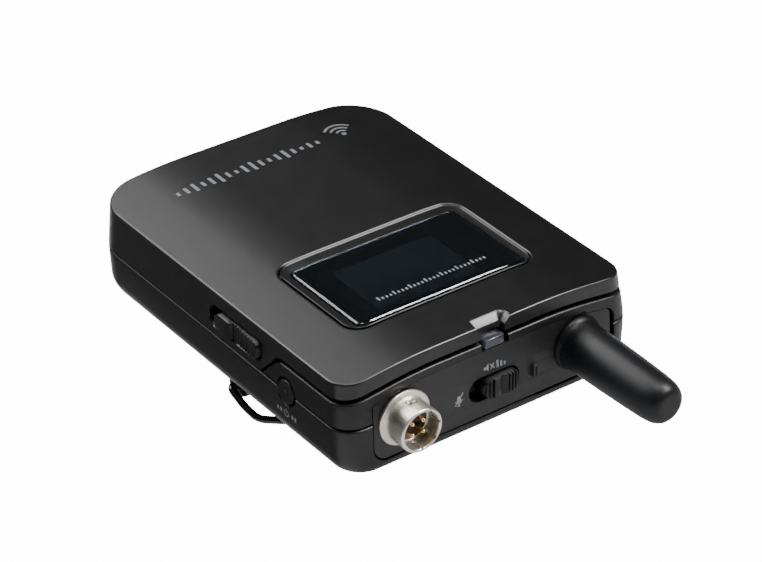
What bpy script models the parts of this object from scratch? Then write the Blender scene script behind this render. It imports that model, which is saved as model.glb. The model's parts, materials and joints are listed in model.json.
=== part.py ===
"""Wireless bodypack transmitter, lying on its back.

+X is its width, -Y the end with the antenna and the microphone connector, +Y the hinged end,
+Z the side with the display window.  The origin is the middle of the flat back.
"""
import bpy
import bmesh
from math import cos, pi, radians, sin, sqrt
from mathutils import Matrix, Vector

MM = 0.001
GAP = 0.3 * MM                      # clearance between pieces that touch

# ---- driving dimensions of the case -------------------------------------------------------
HALF_W = 35.0 * MM                  # at the lower parting line
HALF_W_BACK = 34.4 * MM             # side walls run out to this at the back
HALF_W_TOP = 34.2 * MM              # at the cover's upper edge
FRONT_Y = -44.9 * MM                # antenna end at the lower parting line
FRAME_FRONT_Y = -44.0 * MM          # antenna end at the middle frame's rim
COVER_FRONT_Y = -43.7 * MM          # antenna end at the cover's lower edge
COVER_TOP_FRONT_Y = -43.3 * MM
REAR_Y = 43.2 * MM
PARTING_Z = 11.4 * MM               # top of the back shell
COVER_LOW_Z = 11.9 * MM             # lower edge of the cover's side and rear walls
RIM_Z = 16.7 * MM                   # middle frame's rim at the sides
RIM_RISE = 2.0 * MM                 # how far it arches up in the middle
COVER_LIP_Z = 17.7 * MM             # cover's lower edge above that rim, at the sides
COVER_LIP_RISE = 2.02 * MM
TOP_Z = 20.73 * MM                  # cover's upper edge at the sides
TOP_RISE = 1.62 * MM
CROWN_FLAT = 12.0 * MM              # every arch is level this far out from the middle
CROWN_BEND = 12.0 * MM              # and bends over this width into a straight slope
TOP_LIMIT_Z = 24.0 * MM             # above every part of the case
BACK_EDGE_R = 5.1 * MM              # rounding between the back and the sides
FRONT_EDGE_R = 2.7 * MM
REAR_EDGE_R = 5.0 * MM
FRONT_CORNER_R = 5.0 * MM           # plan corners
REAR_CORNER_R = 9.5 * MM
WALL = 1.6 * MM
FRAME_WALL = 1.8 * MM
FLANGE_WIDTH = 3.9 * MM             # middle frame's inward flange
FLANGE_DEPTH = 1.4 * MM
FLANGE_LIMIT_Z = 16.6 * MM          # its underside is nowhere higher than this
BOSS_R = 2.2 * MM
REAR_BOSS_R = 1.9 * MM
SCREW_HOLE_R = 1.15 * MM
SCREW_SEAT_R = 1.85 * MM
SCREW_SEAT_Z = 1.9 * MM
STANDOFF = (22.0 * MM, -9.0 * MM)
CORNER_STEPS = 6

# ---- hinge, latches, keys -----------------------------------------------------------------
HINGE_Y = REAR_Y - WALL
HINGE_Z = 13.4 * MM
HINGE_R = 1.5 * MM
HINGE_PIN_R = 0.7 * MM
HINGE_BORE_R = 1.0 * MM
KNUCKLE_X = (12.3 * MM, 18.7 * MM)  # fixed knuckle, mirrored
LUG_X = ((8.5 * MM, 12.0 * MM), (19.0 * MM, 22.5 * MM))
LATCH_SLOT_Y = (-17.9 * MM, 0.1 * MM)
LATCH_SLOT_Z = (13.5 * MM, 17.9 * MM)
LATCH_TRAVEL = 2.7 * MM
POWER_Y = -26.1 * MM
POWER_Z = 11.5 * MM
POWER_R = 2.75 * MM
KEY_X = (-12.0 * MM, 0.5 * MM, 13.0 * MM)
KEY_Y = -34.6 * MM
KEY_R = 2.2 * MM

# ---- end panel and what comes through it --------------------------------------------------
PANEL_X = (-28.0 * MM, 28.9 * MM)
PANEL_LOW_Z = 3.05 * MM
PANEL_TOP_Z = 14.1 * MM             # panel's top edge at the sides
PANEL_TOP_RISE = 3.0 * MM
PANEL_CORNER_R = 3.0 * MM
PANEL_GROOVE = 0.45 * MM
PANEL_DEPTH = 1.8 * MM
CONNECTOR_X = -21.2 * MM
CONNECTOR_Z = 10.7 * MM
ANTENNA_X = 20.6 * MM
ANTENNA_Z = 10.7 * MM
ANTENNA_TIP_Y = -71.9 * MM
SLOT_X = (-5.75 * MM, 6.35 * MM)    # mute slot
SLOT_Z = (6.7 * MM, 11.8 * MM)
MUTE_TRAVEL = 2.6 * MM
MUTE_RIB_PITCH = 0.95 * MM
MUTE_FACE_Y = -45.3 * MM
MUTE_CREST_Y = -46.3 * MM
PIP_X = (9.1 * MM, 10.4 * MM)
PIP_Z = (7.4 * MM, 10.25 * MM)
PIP_PROUD = 0.9 * MM
LIGHT_X = (-2.0 * MM, 3.3 * MM)     # status-light lens

# ---- window -------------------------------------------------------------------------------
BEZEL_X = 22.2 * MM
BEZEL_Y = (-30.5 * MM, -3.0 * MM)
BEZEL_R = 4.0 * MM
LENS_X = 20.0 * MM
LENS_Y = (-29.3 * MM, -6.1 * MM)
LENS_R = 1.5 * MM

# ---- inside -------------------------------------------------------------------------------
DECK_HALF_W = 30.2 * MM
DECK_Y = (-39.6 * MM, 40.6 * MM)
DECK_Z = (15.5 * MM, 17.0 * MM)
WELL_X = 28.0 * MM
WELL_Y = (4.1 * MM, 34.7 * MM)
WELL_FLOOR_Z = 2.2 * MM
CELL_R = 7.1 * MM
CELL_HALF_L = 25.1 * MM
CELL_Y = (11.9 * MM, 26.9 * MM)
CELL_Z = 10.5 * MM
BOARD_Z = (4.6 * MM, 5.8 * MM)
ON_BOARD_Z = BOARD_Z[1] + GAP
FRONT_BOSS = (30.2 * MM, -39.2 * MM)
REAR_BOSS = (25.3 * MM, 38.2 * MM)
BOSS_TOP_Z = 8.7 * MM

# ---- belt clip ----------------------------------------------------------------------------
CLIP_WIRE_R = 0.8 * MM
CLIP_X = 32.0 * MM
CLIP_PIVOT_Y = -2.3 * MM
CLIP_PIVOT_Z = -1.7 * MM
LUG_BLOCK_X = (27.2 * MM, 31.0 * MM)

MATERIALS = {
    "case_black": ((0.012, 0.012, 0.013), 0.42, 0.0),
    "cover_black": ((0.010, 0.010, 0.011), 0.30, 0.0),
    "panel_grey": ((0.020, 0.020, 0.022), 0.45, 0.0),
    "window_glass": ((0.006, 0.008, 0.010), 0.04, 0.0),
    "light_lens": ((0.20, 0.22, 0.27), 0.18, 0.0),
    "rubber_black": ((0.030, 0.032, 0.036), 0.52, 0.0),
    "nickel": ((0.70, 0.66, 0.60), 0.22, 1.0),
    "gold": ((0.80, 0.55, 0.22), 0.25, 1.0),
    "insulator": ((0.05, 0.03, 0.02), 0.50, 0.0),
    "board_green": ((0.02, 0.12, 0.06), 0.45, 0.0),
    "chip_black": ((0.015, 0.015, 0.016), 0.50, 0.0),
    "switch_grey": ((0.12, 0.12, 0.13), 0.45, 0.0),
    "display_glass": ((0.25, 0.30, 0.26), 0.15, 0.0),
    "cell_wrap": ((0.05, 0.10, 0.25), 0.35, 0.0),
    "steel": ((0.60, 0.60, 0.62), 0.28, 1.0),
    "wire_black": ((0.008, 0.008, 0.009), 0.15, 0.0),
    "brass": ((0.75, 0.55, 0.28), 0.30, 1.0),
}


# ---- scene and object helpers -------------------------------------------------------------
def clear_scene():
    for old in list(bpy.data.objects):
        bpy.data.objects.remove(old, do_unlink=True)
    for old in list(bpy.data.collections):
        bpy.data.collections.remove(old)


def new_collection(name):
    made = bpy.data.collections.new(name)
    bpy.context.scene.collection.children.link(made)
    return made


clear_scene()
PARTS = new_collection("bodypack_transmitter")
CUTTERS = new_collection("cutters")


def material(name):
    found = bpy.data.materials.get(name)
    if found:
        return found
    colour, roughness, metallic = MATERIALS[name]
    made = bpy.data.materials.new(name)
    made.use_nodes = True
    shader = made.node_tree.nodes["Principled BSDF"]
    shader.inputs["Base Color"].default_value = (*colour, 1.0)
    shader.inputs["Roughness"].default_value = roughness
    shader.inputs["Metallic"].default_value = metallic
    made.diffuse_color = (*colour, 1.0)
    return made


def add_object(name, mesh, finish=None, smooth=False):
    """Links a mesh as a part, or as a cutter where no finish is named."""
    made = bpy.data.objects.new(name, mesh)
    if finish:
        PARTS.objects.link(made)
        mesh.materials.append(material(finish))
    else:
        CUTTERS.objects.link(made)
        made.hide_render = True
        made.display_type = "WIRE"
    if smooth:
        mesh.shade_smooth()
        mesh.set_sharp_from_angle(angle=radians(35))
    return made


def mesh_from(bm, name):
    bmesh.ops.recalc_face_normals(bm, faces=bm.faces)
    mesh = bpy.data.meshes.new(name)
    bm.to_mesh(mesh)
    bm.free()
    return mesh


def boolean(target, other, operation="DIFFERENCE"):
    step = target.modifiers.new(operation.lower(), "BOOLEAN")
    step.operation = operation
    step.solver = "EXACT"
    step.object = other
    return target


def cut(target, *others):
    for other in others:
        boolean(target, other)
    return target


def unite(target, *others):
    for other in others:
        boolean(target, other, "UNION")
    return target


def keep_inside(target, other):
    return boolean(target, other, "INTERSECT")


# ---- basic solids -------------------------------------------------------------------------
def block(name, x, y, z, finish=None, bevel=0.0):
    """Axis-aligned block between two limits on each axis."""
    bm = bmesh.new()
    bmesh.ops.create_cube(bm, size=1.0)
    size = Vector((x[1] - x[0], y[1] - y[0], z[1] - z[0]))
    centre = Vector((x[0] + x[1], y[0] + y[1], z[0] + z[1])) / 2
    bmesh.ops.scale(bm, vec=size, verts=bm.verts)
    bmesh.ops.translate(bm, vec=centre, verts=bm.verts)
    made = add_object(name, mesh_from(bm, name), finish)
    if bevel:
        rounding = made.modifiers.new("edges", "BEVEL")
        rounding.width = bevel
        rounding.segments = 2
    return made


AXIS_TURN = {
    "X": Matrix.Rotation(pi / 2, 4, "Y"),
    "Y": Matrix.Rotation(-pi / 2, 4, "X"),
    "Z": Matrix.Identity(4),
}


def cylinder(name, axis, centre, radius, span, finish=None, steps=24):
    """Cylinder along an axis; centre holds the two other coordinates in X, Y, Z order."""
    bm = bmesh.new()
    length = span[1] - span[0]
    bmesh.ops.create_cone(bm, cap_ends=True, segments=steps, radius1=radius, radius2=radius,
                          depth=length)
    bmesh.ops.rotate(bm, matrix=Matrix.Rotation(pi / steps, 3, "Z"), verts=bm.verts)
    bmesh.ops.transform(bm, matrix=AXIS_TURN[axis], verts=bm.verts)
    middle = (span[0] + span[1]) / 2
    place = {"X": (middle, *centre), "Y": (centre[0], middle, centre[1]), "Z": (*centre, middle)}
    bmesh.ops.translate(bm, vec=place[axis], verts=bm.verts)
    return add_object(name, mesh_from(bm, name), finish, smooth=bool(finish))


def turned(name, profile, place, axis, finish=None, steps=24):
    """Solid of revolution; the profile is (radius, distance along the axis), outer side first."""
    bm = bmesh.new()
    points = [bm.verts.new((radius, 0.0, along)) for radius, along in profile]
    for first, second in zip(points, points[1:]):
        bm.edges.new((first, second))
    mesh = bpy.data.meshes.new(name)
    bm.to_mesh(mesh)
    bm.free()
    made = add_object(name, mesh, finish)
    made.matrix_world = Matrix.Translation(place) @ AXIS_TURN[axis]
    spin = made.modifiers.new("turn", "SCREW")
    spin.axis = "Z"
    spin.steps = steps
    spin.render_steps = steps
    spin.use_merge_vertices = True
    spin.merge_threshold = 0.00001
    spin.use_normal_calculate = False
    return made


def loft(name, rings, finish=None, smooth=False):
    """Closed solid through rings that have the same number of points."""
    bm = bmesh.new()
    levels = [[bm.verts.new(point) for point in ring] for ring in rings]
    count = len(rings[0])
    for lower, upper in zip(levels, levels[1:]):
        for k in range(count):
            after = (k + 1) % count
            bm.faces.new((lower[k], lower[after], upper[after], upper[k]))
    bm.faces.new(list(reversed(levels[0])))
    bm.faces.new(levels[-1])
    return add_object(name, mesh_from(bm, name), finish, smooth)


def prism(name, outline, axis, span, finish=None):
    """Flat outline pushed along an axis; outline points hold the two other coordinates."""
    place = {
        "X": lambda a, b, along: (along, a, b),
        "Y": lambda a, b, along: (a, along, b),
        "Z": lambda a, b, along: (a, b, along),
    }[axis]
    rings = [[place(a, b, along) for a, b in outline] for along in span]
    return loft(name, rings, finish)


def arc(centre, radius, start, end, steps):
    return [(centre[0] + radius * cos(radians(start + (end - start) * k / steps)),
             centre[1] + radius * sin(radians(start + (end - start) * k / steps)))
            for k in range(steps + 1)]


def rounded_rectangle(x, y, radii, steps=CORNER_STEPS):
    """Outline with the corner radii (right rear, left rear, left front, right front)."""
    signs = ((1, 1, 0), (0, 1, 90), (0, 0, 180), (1, 0, 270))
    points = []
    for (right, rear, start), radius in zip(signs, radii):
        centre = (x[1] - radius if right else x[0] + radius,
                  y[1] - radius if rear else y[0] + radius)
        points += arc(centre, radius, start, start + 90, steps)
    return points


# ---- shape of the case --------------------------------------------------------------------
def edge_inset(z, radius):
    """How far a rounded lower edge of this radius draws in at height z."""
    if z >= radius:
        return 0.0
    return radius - sqrt(radius ** 2 - (radius - z) ** 2)


def between(low, high, share):
    return low + (high - low) * min(max(share, 0.0), 1.0)


def case_outline(z, inset=0.0, cover=False):
    """Plan outline of the case at height z, drawn in by inset."""
    if z < PARTING_Z:
        half = between(HALF_W_BACK, HALF_W, z / PARTING_Z) - edge_inset(z, BACK_EDGE_R)
        front = FRONT_Y + edge_inset(z, FRONT_EDGE_R)
        rear = REAR_Y - edge_inset(z, REAR_EDGE_R)
    else:
        half = between(HALF_W, HALF_W_TOP, (z - PARTING_Z) / (TOP_Z - PARTING_Z))
        rear = REAR_Y
        if cover:
            share = (z - COVER_LIP_Z) / (TOP_Z - COVER_LIP_Z)
            front = between(COVER_FRONT_Y, COVER_TOP_FRONT_Y, share)
        else:
            front = between(FRONT_Y, FRAME_FRONT_Y, (z - PARTING_Z) / (RIM_Z - PARTING_Z))
    half -= inset
    front_r = FRONT_CORNER_R - inset
    rear_r = REAR_CORNER_R - inset
    return rounded_rectangle((-half, half), (front + inset, rear - inset),
                             (rear_r, rear_r, front_r, front_r))


def case_solid(name, levels, inset=0.0, cover=False, finish=None):
    rings = [[(x, y, z) for x, y in case_outline(z, inset, cover)] for z in levels]
    return loft(name, rings, finish, smooth=bool(finish))


def crown_height(x, edge_z, rise):
    """Height at x of a face that arches from edge_z at the sides up by rise in the middle."""
    past = max(abs(x) - CROWN_FLAT, 0.0)
    fall = past ** 2 / (2.0 * CROWN_BEND) if past < CROWN_BEND else past - CROWN_BEND / 2.0
    return edge_z + rise * (1.0 - fall / (HALF_W_TOP - CROWN_FLAT - CROWN_BEND / 2.0))


def below_crown(name, edge_z, rise, low=-0.01, y=(-0.06, 0.06), half=36.0 * MM, steps=6):
    """Block whose upper face is the arch."""
    one_side = [CROWN_FLAT + CROWN_BEND * k / steps for k in range(steps + 1)] + [half]
    across = [-x for x in reversed(one_side)] + one_side
    outline = [(x, crown_height(x, edge_z, rise)) for x in reversed(across)]
    outline += [(-half, low), (half, low)]
    return prism(name, outline, "Y", y)


# ---- back shell ---------------------------------------------------------------------------
def panel_outline(grow=0.0):
    """Front view of the end panel, its top left open above the case for the arch to cut."""
    low = PANEL_LOW_Z - grow
    left = PANEL_X[0] - grow
    right = PANEL_X[1] + grow
    radius = PANEL_CORNER_R
    points = arc((left + radius, low + radius), radius, 180, 270, CORNER_STEPS)
    points += arc((right - radius, low + radius), radius, 270, 360, CORNER_STEPS)
    return points + [(right, TOP_LIMIT_Z), (left, TOP_LIMIT_Z)]


def boss_positions():
    return [(FRONT_BOSS[0], FRONT_BOSS[1]), (-FRONT_BOSS[0], FRONT_BOSS[1]),
            (REAR_BOSS[0], REAR_BOSS[1]), (-REAR_BOSS[0], REAR_BOSS[1])]


def make_back_shell():
    rounding = [BACK_EDGE_R * (1.0 - cos(radians(step))) for step in (0, 18, 36, 54, 72, 90)]
    shell = case_solid("back_shell", rounding + [PARTING_Z], finish="case_black")
    inner_levels = [WALL, 0.5 * BACK_EDGE_R, 0.8 * BACK_EDGE_R, BACK_EDGE_R, PARTING_Z - 0.01 * MM,
                    PARTING_Z + WALL]
    cut(shell, case_solid("shell_inside", inner_levels, inset=WALL))

    opening = prism("panel_opening_low", panel_outline(PANEL_GROOVE), "Y",
                    (FRONT_Y - 5 * MM, FRONT_Y + WALL + 1 * MM))
    cut(shell, opening)
    cut(shell, cylinder("power_hole", "X", (POWER_Y, POWER_Z), POWER_R + GAP,
                        (-40 * MM, -30 * MM)))
    for k, (x, y) in enumerate(boss_positions()):
        radius = BOSS_R if y < 0 else REAR_BOSS_R
        unite(shell, cylinder(f"shell_boss_{k}", "Z", (x, y), radius, (1.0 * MM, BOSS_TOP_Z),
                              steps=16))
        cut(shell, cylinder(f"screw_hole_{k}", "Z", (x, y), SCREW_HOLE_R, (-5 * MM, 10 * MM),
                            steps=16),
            cylinder(f"screw_seat_{k}", "Z", (x, y), SCREW_SEAT_R, (-5 * MM, SCREW_SEAT_Z),
                     steps=20))
    for side in (-1, 1):
        standoff = (side * STANDOFF[0], STANDOFF[1])
        unite(shell, cylinder(f"standoff_{side}", "Z", standoff, 1.9 * MM,
                              (1.0 * MM, BOARD_Z[0] - GAP), steps=16))
        cut(shell, cylinder(f"standoff_hole_{side}", "Z", standoff, 1.1 * MM,
                            (2.0 * MM, 10 * MM), steps=16))
        add_knuckle(shell, side)
        add_clip_lug(shell, side)
    return shell


def add_knuckle(shell, side):
    """Fixed hinge knuckle that stands on the rear wall."""
    span = sorted((side * KNUCKLE_X[0], side * KNUCKLE_X[1]))
    web = block(f"knuckle_web_{side}", span, (HINGE_Y - HINGE_R, REAR_Y - 0.02 * MM),
                (PARTING_Z - 1.5 * MM, HINGE_Z))
    barrel = cylinder(f"knuckle_{side}", "X", (HINGE_Y, HINGE_Z), HINGE_R, span)
    bore = cylinder(f"knuckle_bore_{side}", "X", (HINGE_Y, HINGE_Z), HINGE_BORE_R,
                    (min(span) - 1 * MM, max(span) + 1 * MM), steps=16)
    unite(shell, web, barrel)
    cut(shell, bore)


def add_clip_lug(shell, side):
    """Lug under the back that carries one end of the belt clip's wire."""
    front, rear = -6.3 * MM, CLIP_PIVOT_Y + 1.8 * MM
    low = CLIP_PIVOT_Z - 1.8 * MM
    outline = [(rear, 2.5 * MM), (front, 2.5 * MM), (front, low + 1.4 * MM),
               (front + 1.2 * MM, low + 0.3 * MM)]
    outline += arc((CLIP_PIVOT_Y, CLIP_PIVOT_Z), 1.8 * MM, 270, 360, CORNER_STEPS)
    span = sorted((side * LUG_BLOCK_X[0], side * LUG_BLOCK_X[1]))
    unite(shell, prism(f"clip_lug_{side}", outline, "X", span))
    cut(shell, cylinder(f"clip_bore_{side}", "X", (CLIP_PIVOT_Y, CLIP_PIVOT_Z),
                        CLIP_WIRE_R + GAP, (span[0] - MM, span[1] + MM), steps=16))


# ---- middle frame, end panel, deck --------------------------------------------------------
def panel_opening(name, grow, y):
    """Cutter or blank with the panel's outline and its arched top edge."""
    blank = prism(name, panel_outline(grow), "Y", y)
    return keep_inside(blank, below_crown(f"{name}_top", PANEL_TOP_Z + grow, PANEL_TOP_RISE))


def make_mid_frame():
    levels = [PARTING_Z + GAP, RIM_Z, RIM_Z + RIM_RISE + MM]
    frame = case_solid("mid_frame", levels, finish="case_black")
    keep_inside(frame, below_crown("rim_arch", RIM_Z, RIM_RISE))
    inside = case_solid("frame_inside", [8 * MM, PARTING_Z, FLANGE_LIMIT_Z], inset=FRAME_WALL)
    keep_inside(inside, below_crown("flange_underside", RIM_Z - FLANGE_DEPTH, RIM_RISE))
    cut(frame, inside,
        case_solid("flange_inside", [RIM_Z - FLANGE_DEPTH - 0.6 * MM, TOP_LIMIT_Z],
                   inset=FLANGE_WIDTH))
    ramp = [(-18.4 * MM, PARTING_Z - MM), (-18.4 * MM, PARTING_Z + 0.4 * MM),
            (-23.1 * MM, RIM_Z), (-23.1 * MM, TOP_LIMIT_Z),
            (60 * MM, TOP_LIMIT_Z), (60 * MM, PARTING_Z - MM)]
    cut(frame, prism("frame_ramp", ramp, "X", (-40 * MM, 40 * MM)))
    post_z = (BOSS_TOP_Z + GAP, RIM_Z - 0.5 * MM)
    for side in (-1, 1):
        post = (side * FRONT_BOSS[0], FRONT_BOSS[1])
        unite(frame, cylinder(f"frame_post_{side}", "Z", post, BOSS_R, post_z, steps=16))
        cut(frame, cylinder(f"frame_post_hole_{side}", "Z", post, 1.1 * MM,
                            (0.0, 13.5 * MM), steps=16))
    cut(frame, panel_opening("panel_opening_high", PANEL_GROOVE,
                             (FRONT_Y - 5 * MM, FRAME_FRONT_Y + PANEL_DEPTH + 0.6 * MM)))
    cut(frame, cylinder("power_hole_high", "X", (POWER_Y, POWER_Z), POWER_R + GAP,
                        (-40 * MM, -30 * MM)))
    cut(frame, block("light_notch", (LIGHT_X[0] - 0.3 * MM, LIGHT_X[1] + 0.9 * MM),
                     (-48 * MM, -39.0 * MM), (17.3 * MM, TOP_LIMIT_Z)))
    return frame


def stadium(x, z, steps=8):
    """Front view of a slot with round ends."""
    radius = (z[1] - z[0]) / 2
    centre_z = (z[0] + z[1]) / 2
    points = arc((x[1] - radius, centre_z), radius, -90, 90, steps)
    return points + arc((x[0] + radius, centre_z), radius, 90, 270, steps)


def make_end_panel():
    levels = [2.0 * MM, PARTING_Z, RIM_Z, RIM_Z + RIM_RISE]
    panel = case_solid("end_panel", levels, inset=0.12 * MM, finish="panel_grey")
    keep_inside(panel, panel_opening("panel_blank", 0.0, (-50 * MM, -38 * MM)))
    cut(panel, block("panel_back", (-40 * MM, 40 * MM), (FRONT_Y + PANEL_DEPTH, -30 * MM),
                     (0.0, TOP_LIMIT_Z)))
    through = (-50 * MM, -40 * MM)
    cut(panel, cylinder("connector_hole", "Y", (CONNECTOR_X, CONNECTOR_Z), 5.0 * MM, through),
        cylinder("antenna_hole", "Y", (ANTENNA_X, ANTENNA_Z), 2.9 * MM, through),
        prism("mute_slot", stadium(SLOT_X, SLOT_Z), "Y", through))
    pip = [(x, z) for z, x in stadium(PIP_Z, PIP_X, 4)]
    unite(panel, prism("panel_pip", pip, "Y", (FRONT_Y - PIP_PROUD, FRONT_Y + 0.8 * MM)))
    return panel


def make_inner_deck():
    radii = (7 * MM, 7 * MM, 2 * MM, 2 * MM)
    plate = rounded_rectangle((-DECK_HALF_W, DECK_HALF_W), DECK_Y, radii, 4)
    deck = prism("inner_deck", plate, "Z", DECK_Z, finish="switch_grey")
    wall = 1.0 * MM
    well_x = (-WELL_X - wall, WELL_X + wall)
    well_y = (WELL_Y[0] - wall, WELL_Y[1] + wall)
    unite(deck, block("well_outside", well_x, well_y, (WELL_FLOOR_Z, DECK_Z[1] - 0.2 * MM)))
    cut(deck, block("well_inside", (-WELL_X, WELL_X), WELL_Y, (WELL_FLOOR_Z + 0.9 * MM, 20 * MM)),
        block("display_opening", (-15.6 * MM, 15.6 * MM), (-27.6 * MM, -6.4 * MM),
              (10 * MM, 20 * MM)))
    rear_cut = block("knuckle_room", (-23.4 * MM, 23.4 * MM), (39.0 * MM, 45 * MM),
                     (10 * MM, 20 * MM))
    cut(deck, rear_cut)
    for k, x in enumerate(KEY_X):
        cut(deck, cylinder(f"key_hole_{k}", "Z", (x, KEY_Y), 1.5 * MM, (10 * MM, 20 * MM),
                           steps=16))
    for side in (-1, 1):
        frame_post = (side * FRONT_BOSS[0], FRONT_BOSS[1])
        cut(deck, cylinder(f"frame_post_room_{side}", "Z", frame_post, BOSS_R + 2 * GAP,
                           (10 * MM, 20 * MM), steps=16))
        post = (side * REAR_BOSS[0], REAR_BOSS[1])
        unite(deck, cylinder(f"deck_post_{side}", "Z", post, 1.3 * MM,
                             (BOSS_TOP_Z + GAP, DECK_Z[1] - 0.4 * MM), steps=16))
        cut(deck, cylinder(f"deck_post_hole_{side}", "Z", post, 0.8 * MM,
                           (0.0, 13.5 * MM), steps=12))
    return deck


# ---- front cover --------------------------------------------------------------------------
def make_front_cover():
    levels = [COVER_LOW_Z, COVER_LIP_Z, TOP_Z - 0.5 * MM, TOP_LIMIT_Z]
    cover = case_solid("front_cover", levels, cover=True, finish="cover_black")
    keep_inside(cover, below_crown("top_arch", TOP_Z, TOP_RISE))
    hollow = case_solid("cover_hollow", [8 * MM, COVER_LOW_Z, TOP_Z, TOP_LIMIT_Z], inset=WALL,
                        cover=True)
    keep_inside(hollow, below_crown("hollow_arch", TOP_Z - 1.8 * MM, TOP_RISE))
    cut(cover, hollow)

    step = [(-60 * MM, 0.0), (-17.9 * MM, 0.0), (-17.9 * MM, COVER_LOW_Z + 0.2 * MM),
            (-22.6 * MM, RIM_Z - 0.2 * MM), (-22.6 * MM, COVER_LIP_Z - 0.4 * MM),
            (-60 * MM, COVER_LIP_Z - 0.4 * MM)]
    cut(cover, prism("cover_step", step, "X", (-40 * MM, 40 * MM)))
    cut(cover, below_crown("lip_arch", COVER_LIP_Z, COVER_LIP_RISE, low=10 * MM,
                           y=(-60 * MM, -23.0 * MM)))
    cut_window(cover)
    cut_light_notch(cover)
    add_hinge_lugs(cover)
    for side in (-1, 1):
        slot = rounded_slot(side)
        cut(cover, slot)
    return cover


def rounded_slot(side):
    y, z = LATCH_SLOT_Y, LATCH_SLOT_Z
    outline = rounded_rectangle(y, z, (0.8 * MM,) * 4, 3)
    return prism(f"latch_slot_{side}", outline, "X", sorted((side * 30 * MM, side * 38 * MM)))


def window_blank(name, x, y, radius, grow, finish=None):
    outline = rounded_rectangle((-x - grow, x + grow), (y[0] - grow, y[1] + grow),
                                (radius + grow,) * 4)
    return prism(name, outline, "Z", (10 * MM, TOP_LIMIT_Z), finish)


def cut_window(cover):
    pocket = window_blank("bezel_pocket", BEZEL_X, BEZEL_Y, BEZEL_R, 0.0)
    cut(pocket, below_crown("pocket_floor", TOP_Z - 0.9 * MM, TOP_RISE))
    cut(cover, pocket, window_blank("window_opening", LENS_X, LENS_Y, LENS_R, GAP))


def make_window_bezel():
    bezel = window_blank("window_bezel", BEZEL_X, BEZEL_Y, BEZEL_R, -GAP, "cover_black")
    keep_inside(bezel, below_crown("bezel_top", TOP_Z - 0.1 * MM, TOP_RISE))
    cut(bezel, below_crown("bezel_floor", TOP_Z - 0.6 * MM, TOP_RISE),
        window_blank("bezel_opening", LENS_X, LENS_Y, LENS_R, GAP))
    return bezel


def make_window_lens():
    lens = window_blank("window_lens", LENS_X, LENS_Y, LENS_R, 0.0, "window_glass")
    keep_inside(lens, below_crown("lens_top", TOP_Z + 0.12 * MM, TOP_RISE))
    cut(lens, below_crown("lens_floor", TOP_Z - 1.3 * MM, TOP_RISE))
    return lens


def cut_light_notch(cover):
    """Notch with chamfered sides above the status light."""
    sections = ((17.0 * MM, 0.0), (21.0 * MM, 0.0), (22.5 * MM, 1.75 * MM),
                (TOP_LIMIT_Z, 3.4 * MM))
    rings = []
    for z, flare in sections:
        x = (LIGHT_X[0] - 0.2 * MM - flare * 0.6, LIGHT_X[1] + 0.2 * MM + flare)
        y = (-50 * MM, -41.9 * MM + flare)
        radius = 0.4 * MM + 0.6 * flare
        outline = rounded_rectangle(x, y, (radius, 0.3 * MM, 0.3 * MM, 0.3 * MM), 4)
        rings.append([(a, b, z) for a, b in outline])
    cut(cover, loft("light_notch_cutter", rings))


def add_hinge_lugs(cover):
    """Lugs and clearances about the hinge line, at the foot of the rear wall."""
    swing = block("foot_corner", (-29 * MM, 29 * MM), (HINGE_Y, 46 * MM), (8 * MM, HINGE_Z))
    cut(swing, cylinder("foot_round", "X", (HINGE_Y, HINGE_Z), HINGE_R + 0.1 * MM,
                        (-30 * MM, 30 * MM)))
    cut(cover, swing)
    for side in (-1, 1):
        for k, (low, high) in enumerate(LUG_X):
            span = sorted((side * low, side * high))
            unite(cover, cylinder(f"lug_{side}_{k}", "X", (HINGE_Y, HINGE_Z), HINGE_R, span))
        room = sorted((side * (KNUCKLE_X[0] - GAP), side * (KNUCKLE_X[1] + GAP)))
        clear = HINGE_R + 0.4 * MM
        cut(cover, block(f"knuckle_slot_{side}", room, (HINGE_Y - 3 * MM, 46 * MM),
                         (8 * MM, HINGE_Z + clear)),
            cylinder(f"lug_bore_{side}", "X", (HINGE_Y, HINGE_Z), HINGE_BORE_R,
                     sorted((side * 9.3 * MM, side * 21.7 * MM)), steps=16))


# ---- pieces that move ---------------------------------------------------------------------
def make_latch(side):
    """Sliding latch: inner plate, ribbed knob through the cover's slot, and its tongue."""
    name = "latch_left" if side < 0 else "latch_right"

    def across(inner, outer):
        return sorted((side * inner, side * outer))

    knob_y = (LATCH_SLOT_Y[0] + GAP, LATCH_SLOT_Y[1] - LATCH_TRAVEL - GAP)
    knob_z = (LATCH_SLOT_Z[0] + GAP, LATCH_SLOT_Z[1] - GAP)
    latch = block(name, across(31.3 * MM, 32.1 * MM), (-19.0 * MM, -0.2 * MM),
                  (12.6 * MM, 18.7 * MM), finish="case_black")
    unite(latch, block(f"{name}_knob", across(31.6 * MM, 35.6 * MM), knob_y, knob_z, bevel=0.4 * MM))
    unite(latch, block(f"{name}_tongue", across(31.3 * MM, 32.1 * MM), (-20.6 * MM, -18.0 * MM),
                       (13.2 * MM, 14.8 * MM)))
    ribs = 8
    pitch = 1.15 * MM
    for k in range(ribs):
        y = knob_y[0] + 0.9 * MM + k * pitch
        cut(latch, block(f"{name}_groove_{k}", across(35.0 * MM, 37 * MM), (y, y + 0.55 * MM),
                         (knob_z[0] - MM, knob_z[1] + MM)))
    return latch


def make_power_button():
    """Round cap in the left wall, with a flange and a stem behind it."""
    profile = [(0.0, 3.6 * MM), (1.0 * MM, 3.6 * MM), (1.0 * MM, 2.9 * MM), (3.3 * MM, 2.9 * MM),
               (3.3 * MM, 2.5 * MM), (POWER_R, 2.5 * MM), (POWER_R, 0.25 * MM),
               (POWER_R - 0.25 * MM, 0.0), (0.0, 0.0)]
    return turned("power_button", profile, (-HALF_W, POWER_Y, POWER_Z), "X", "case_black", 28)


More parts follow.
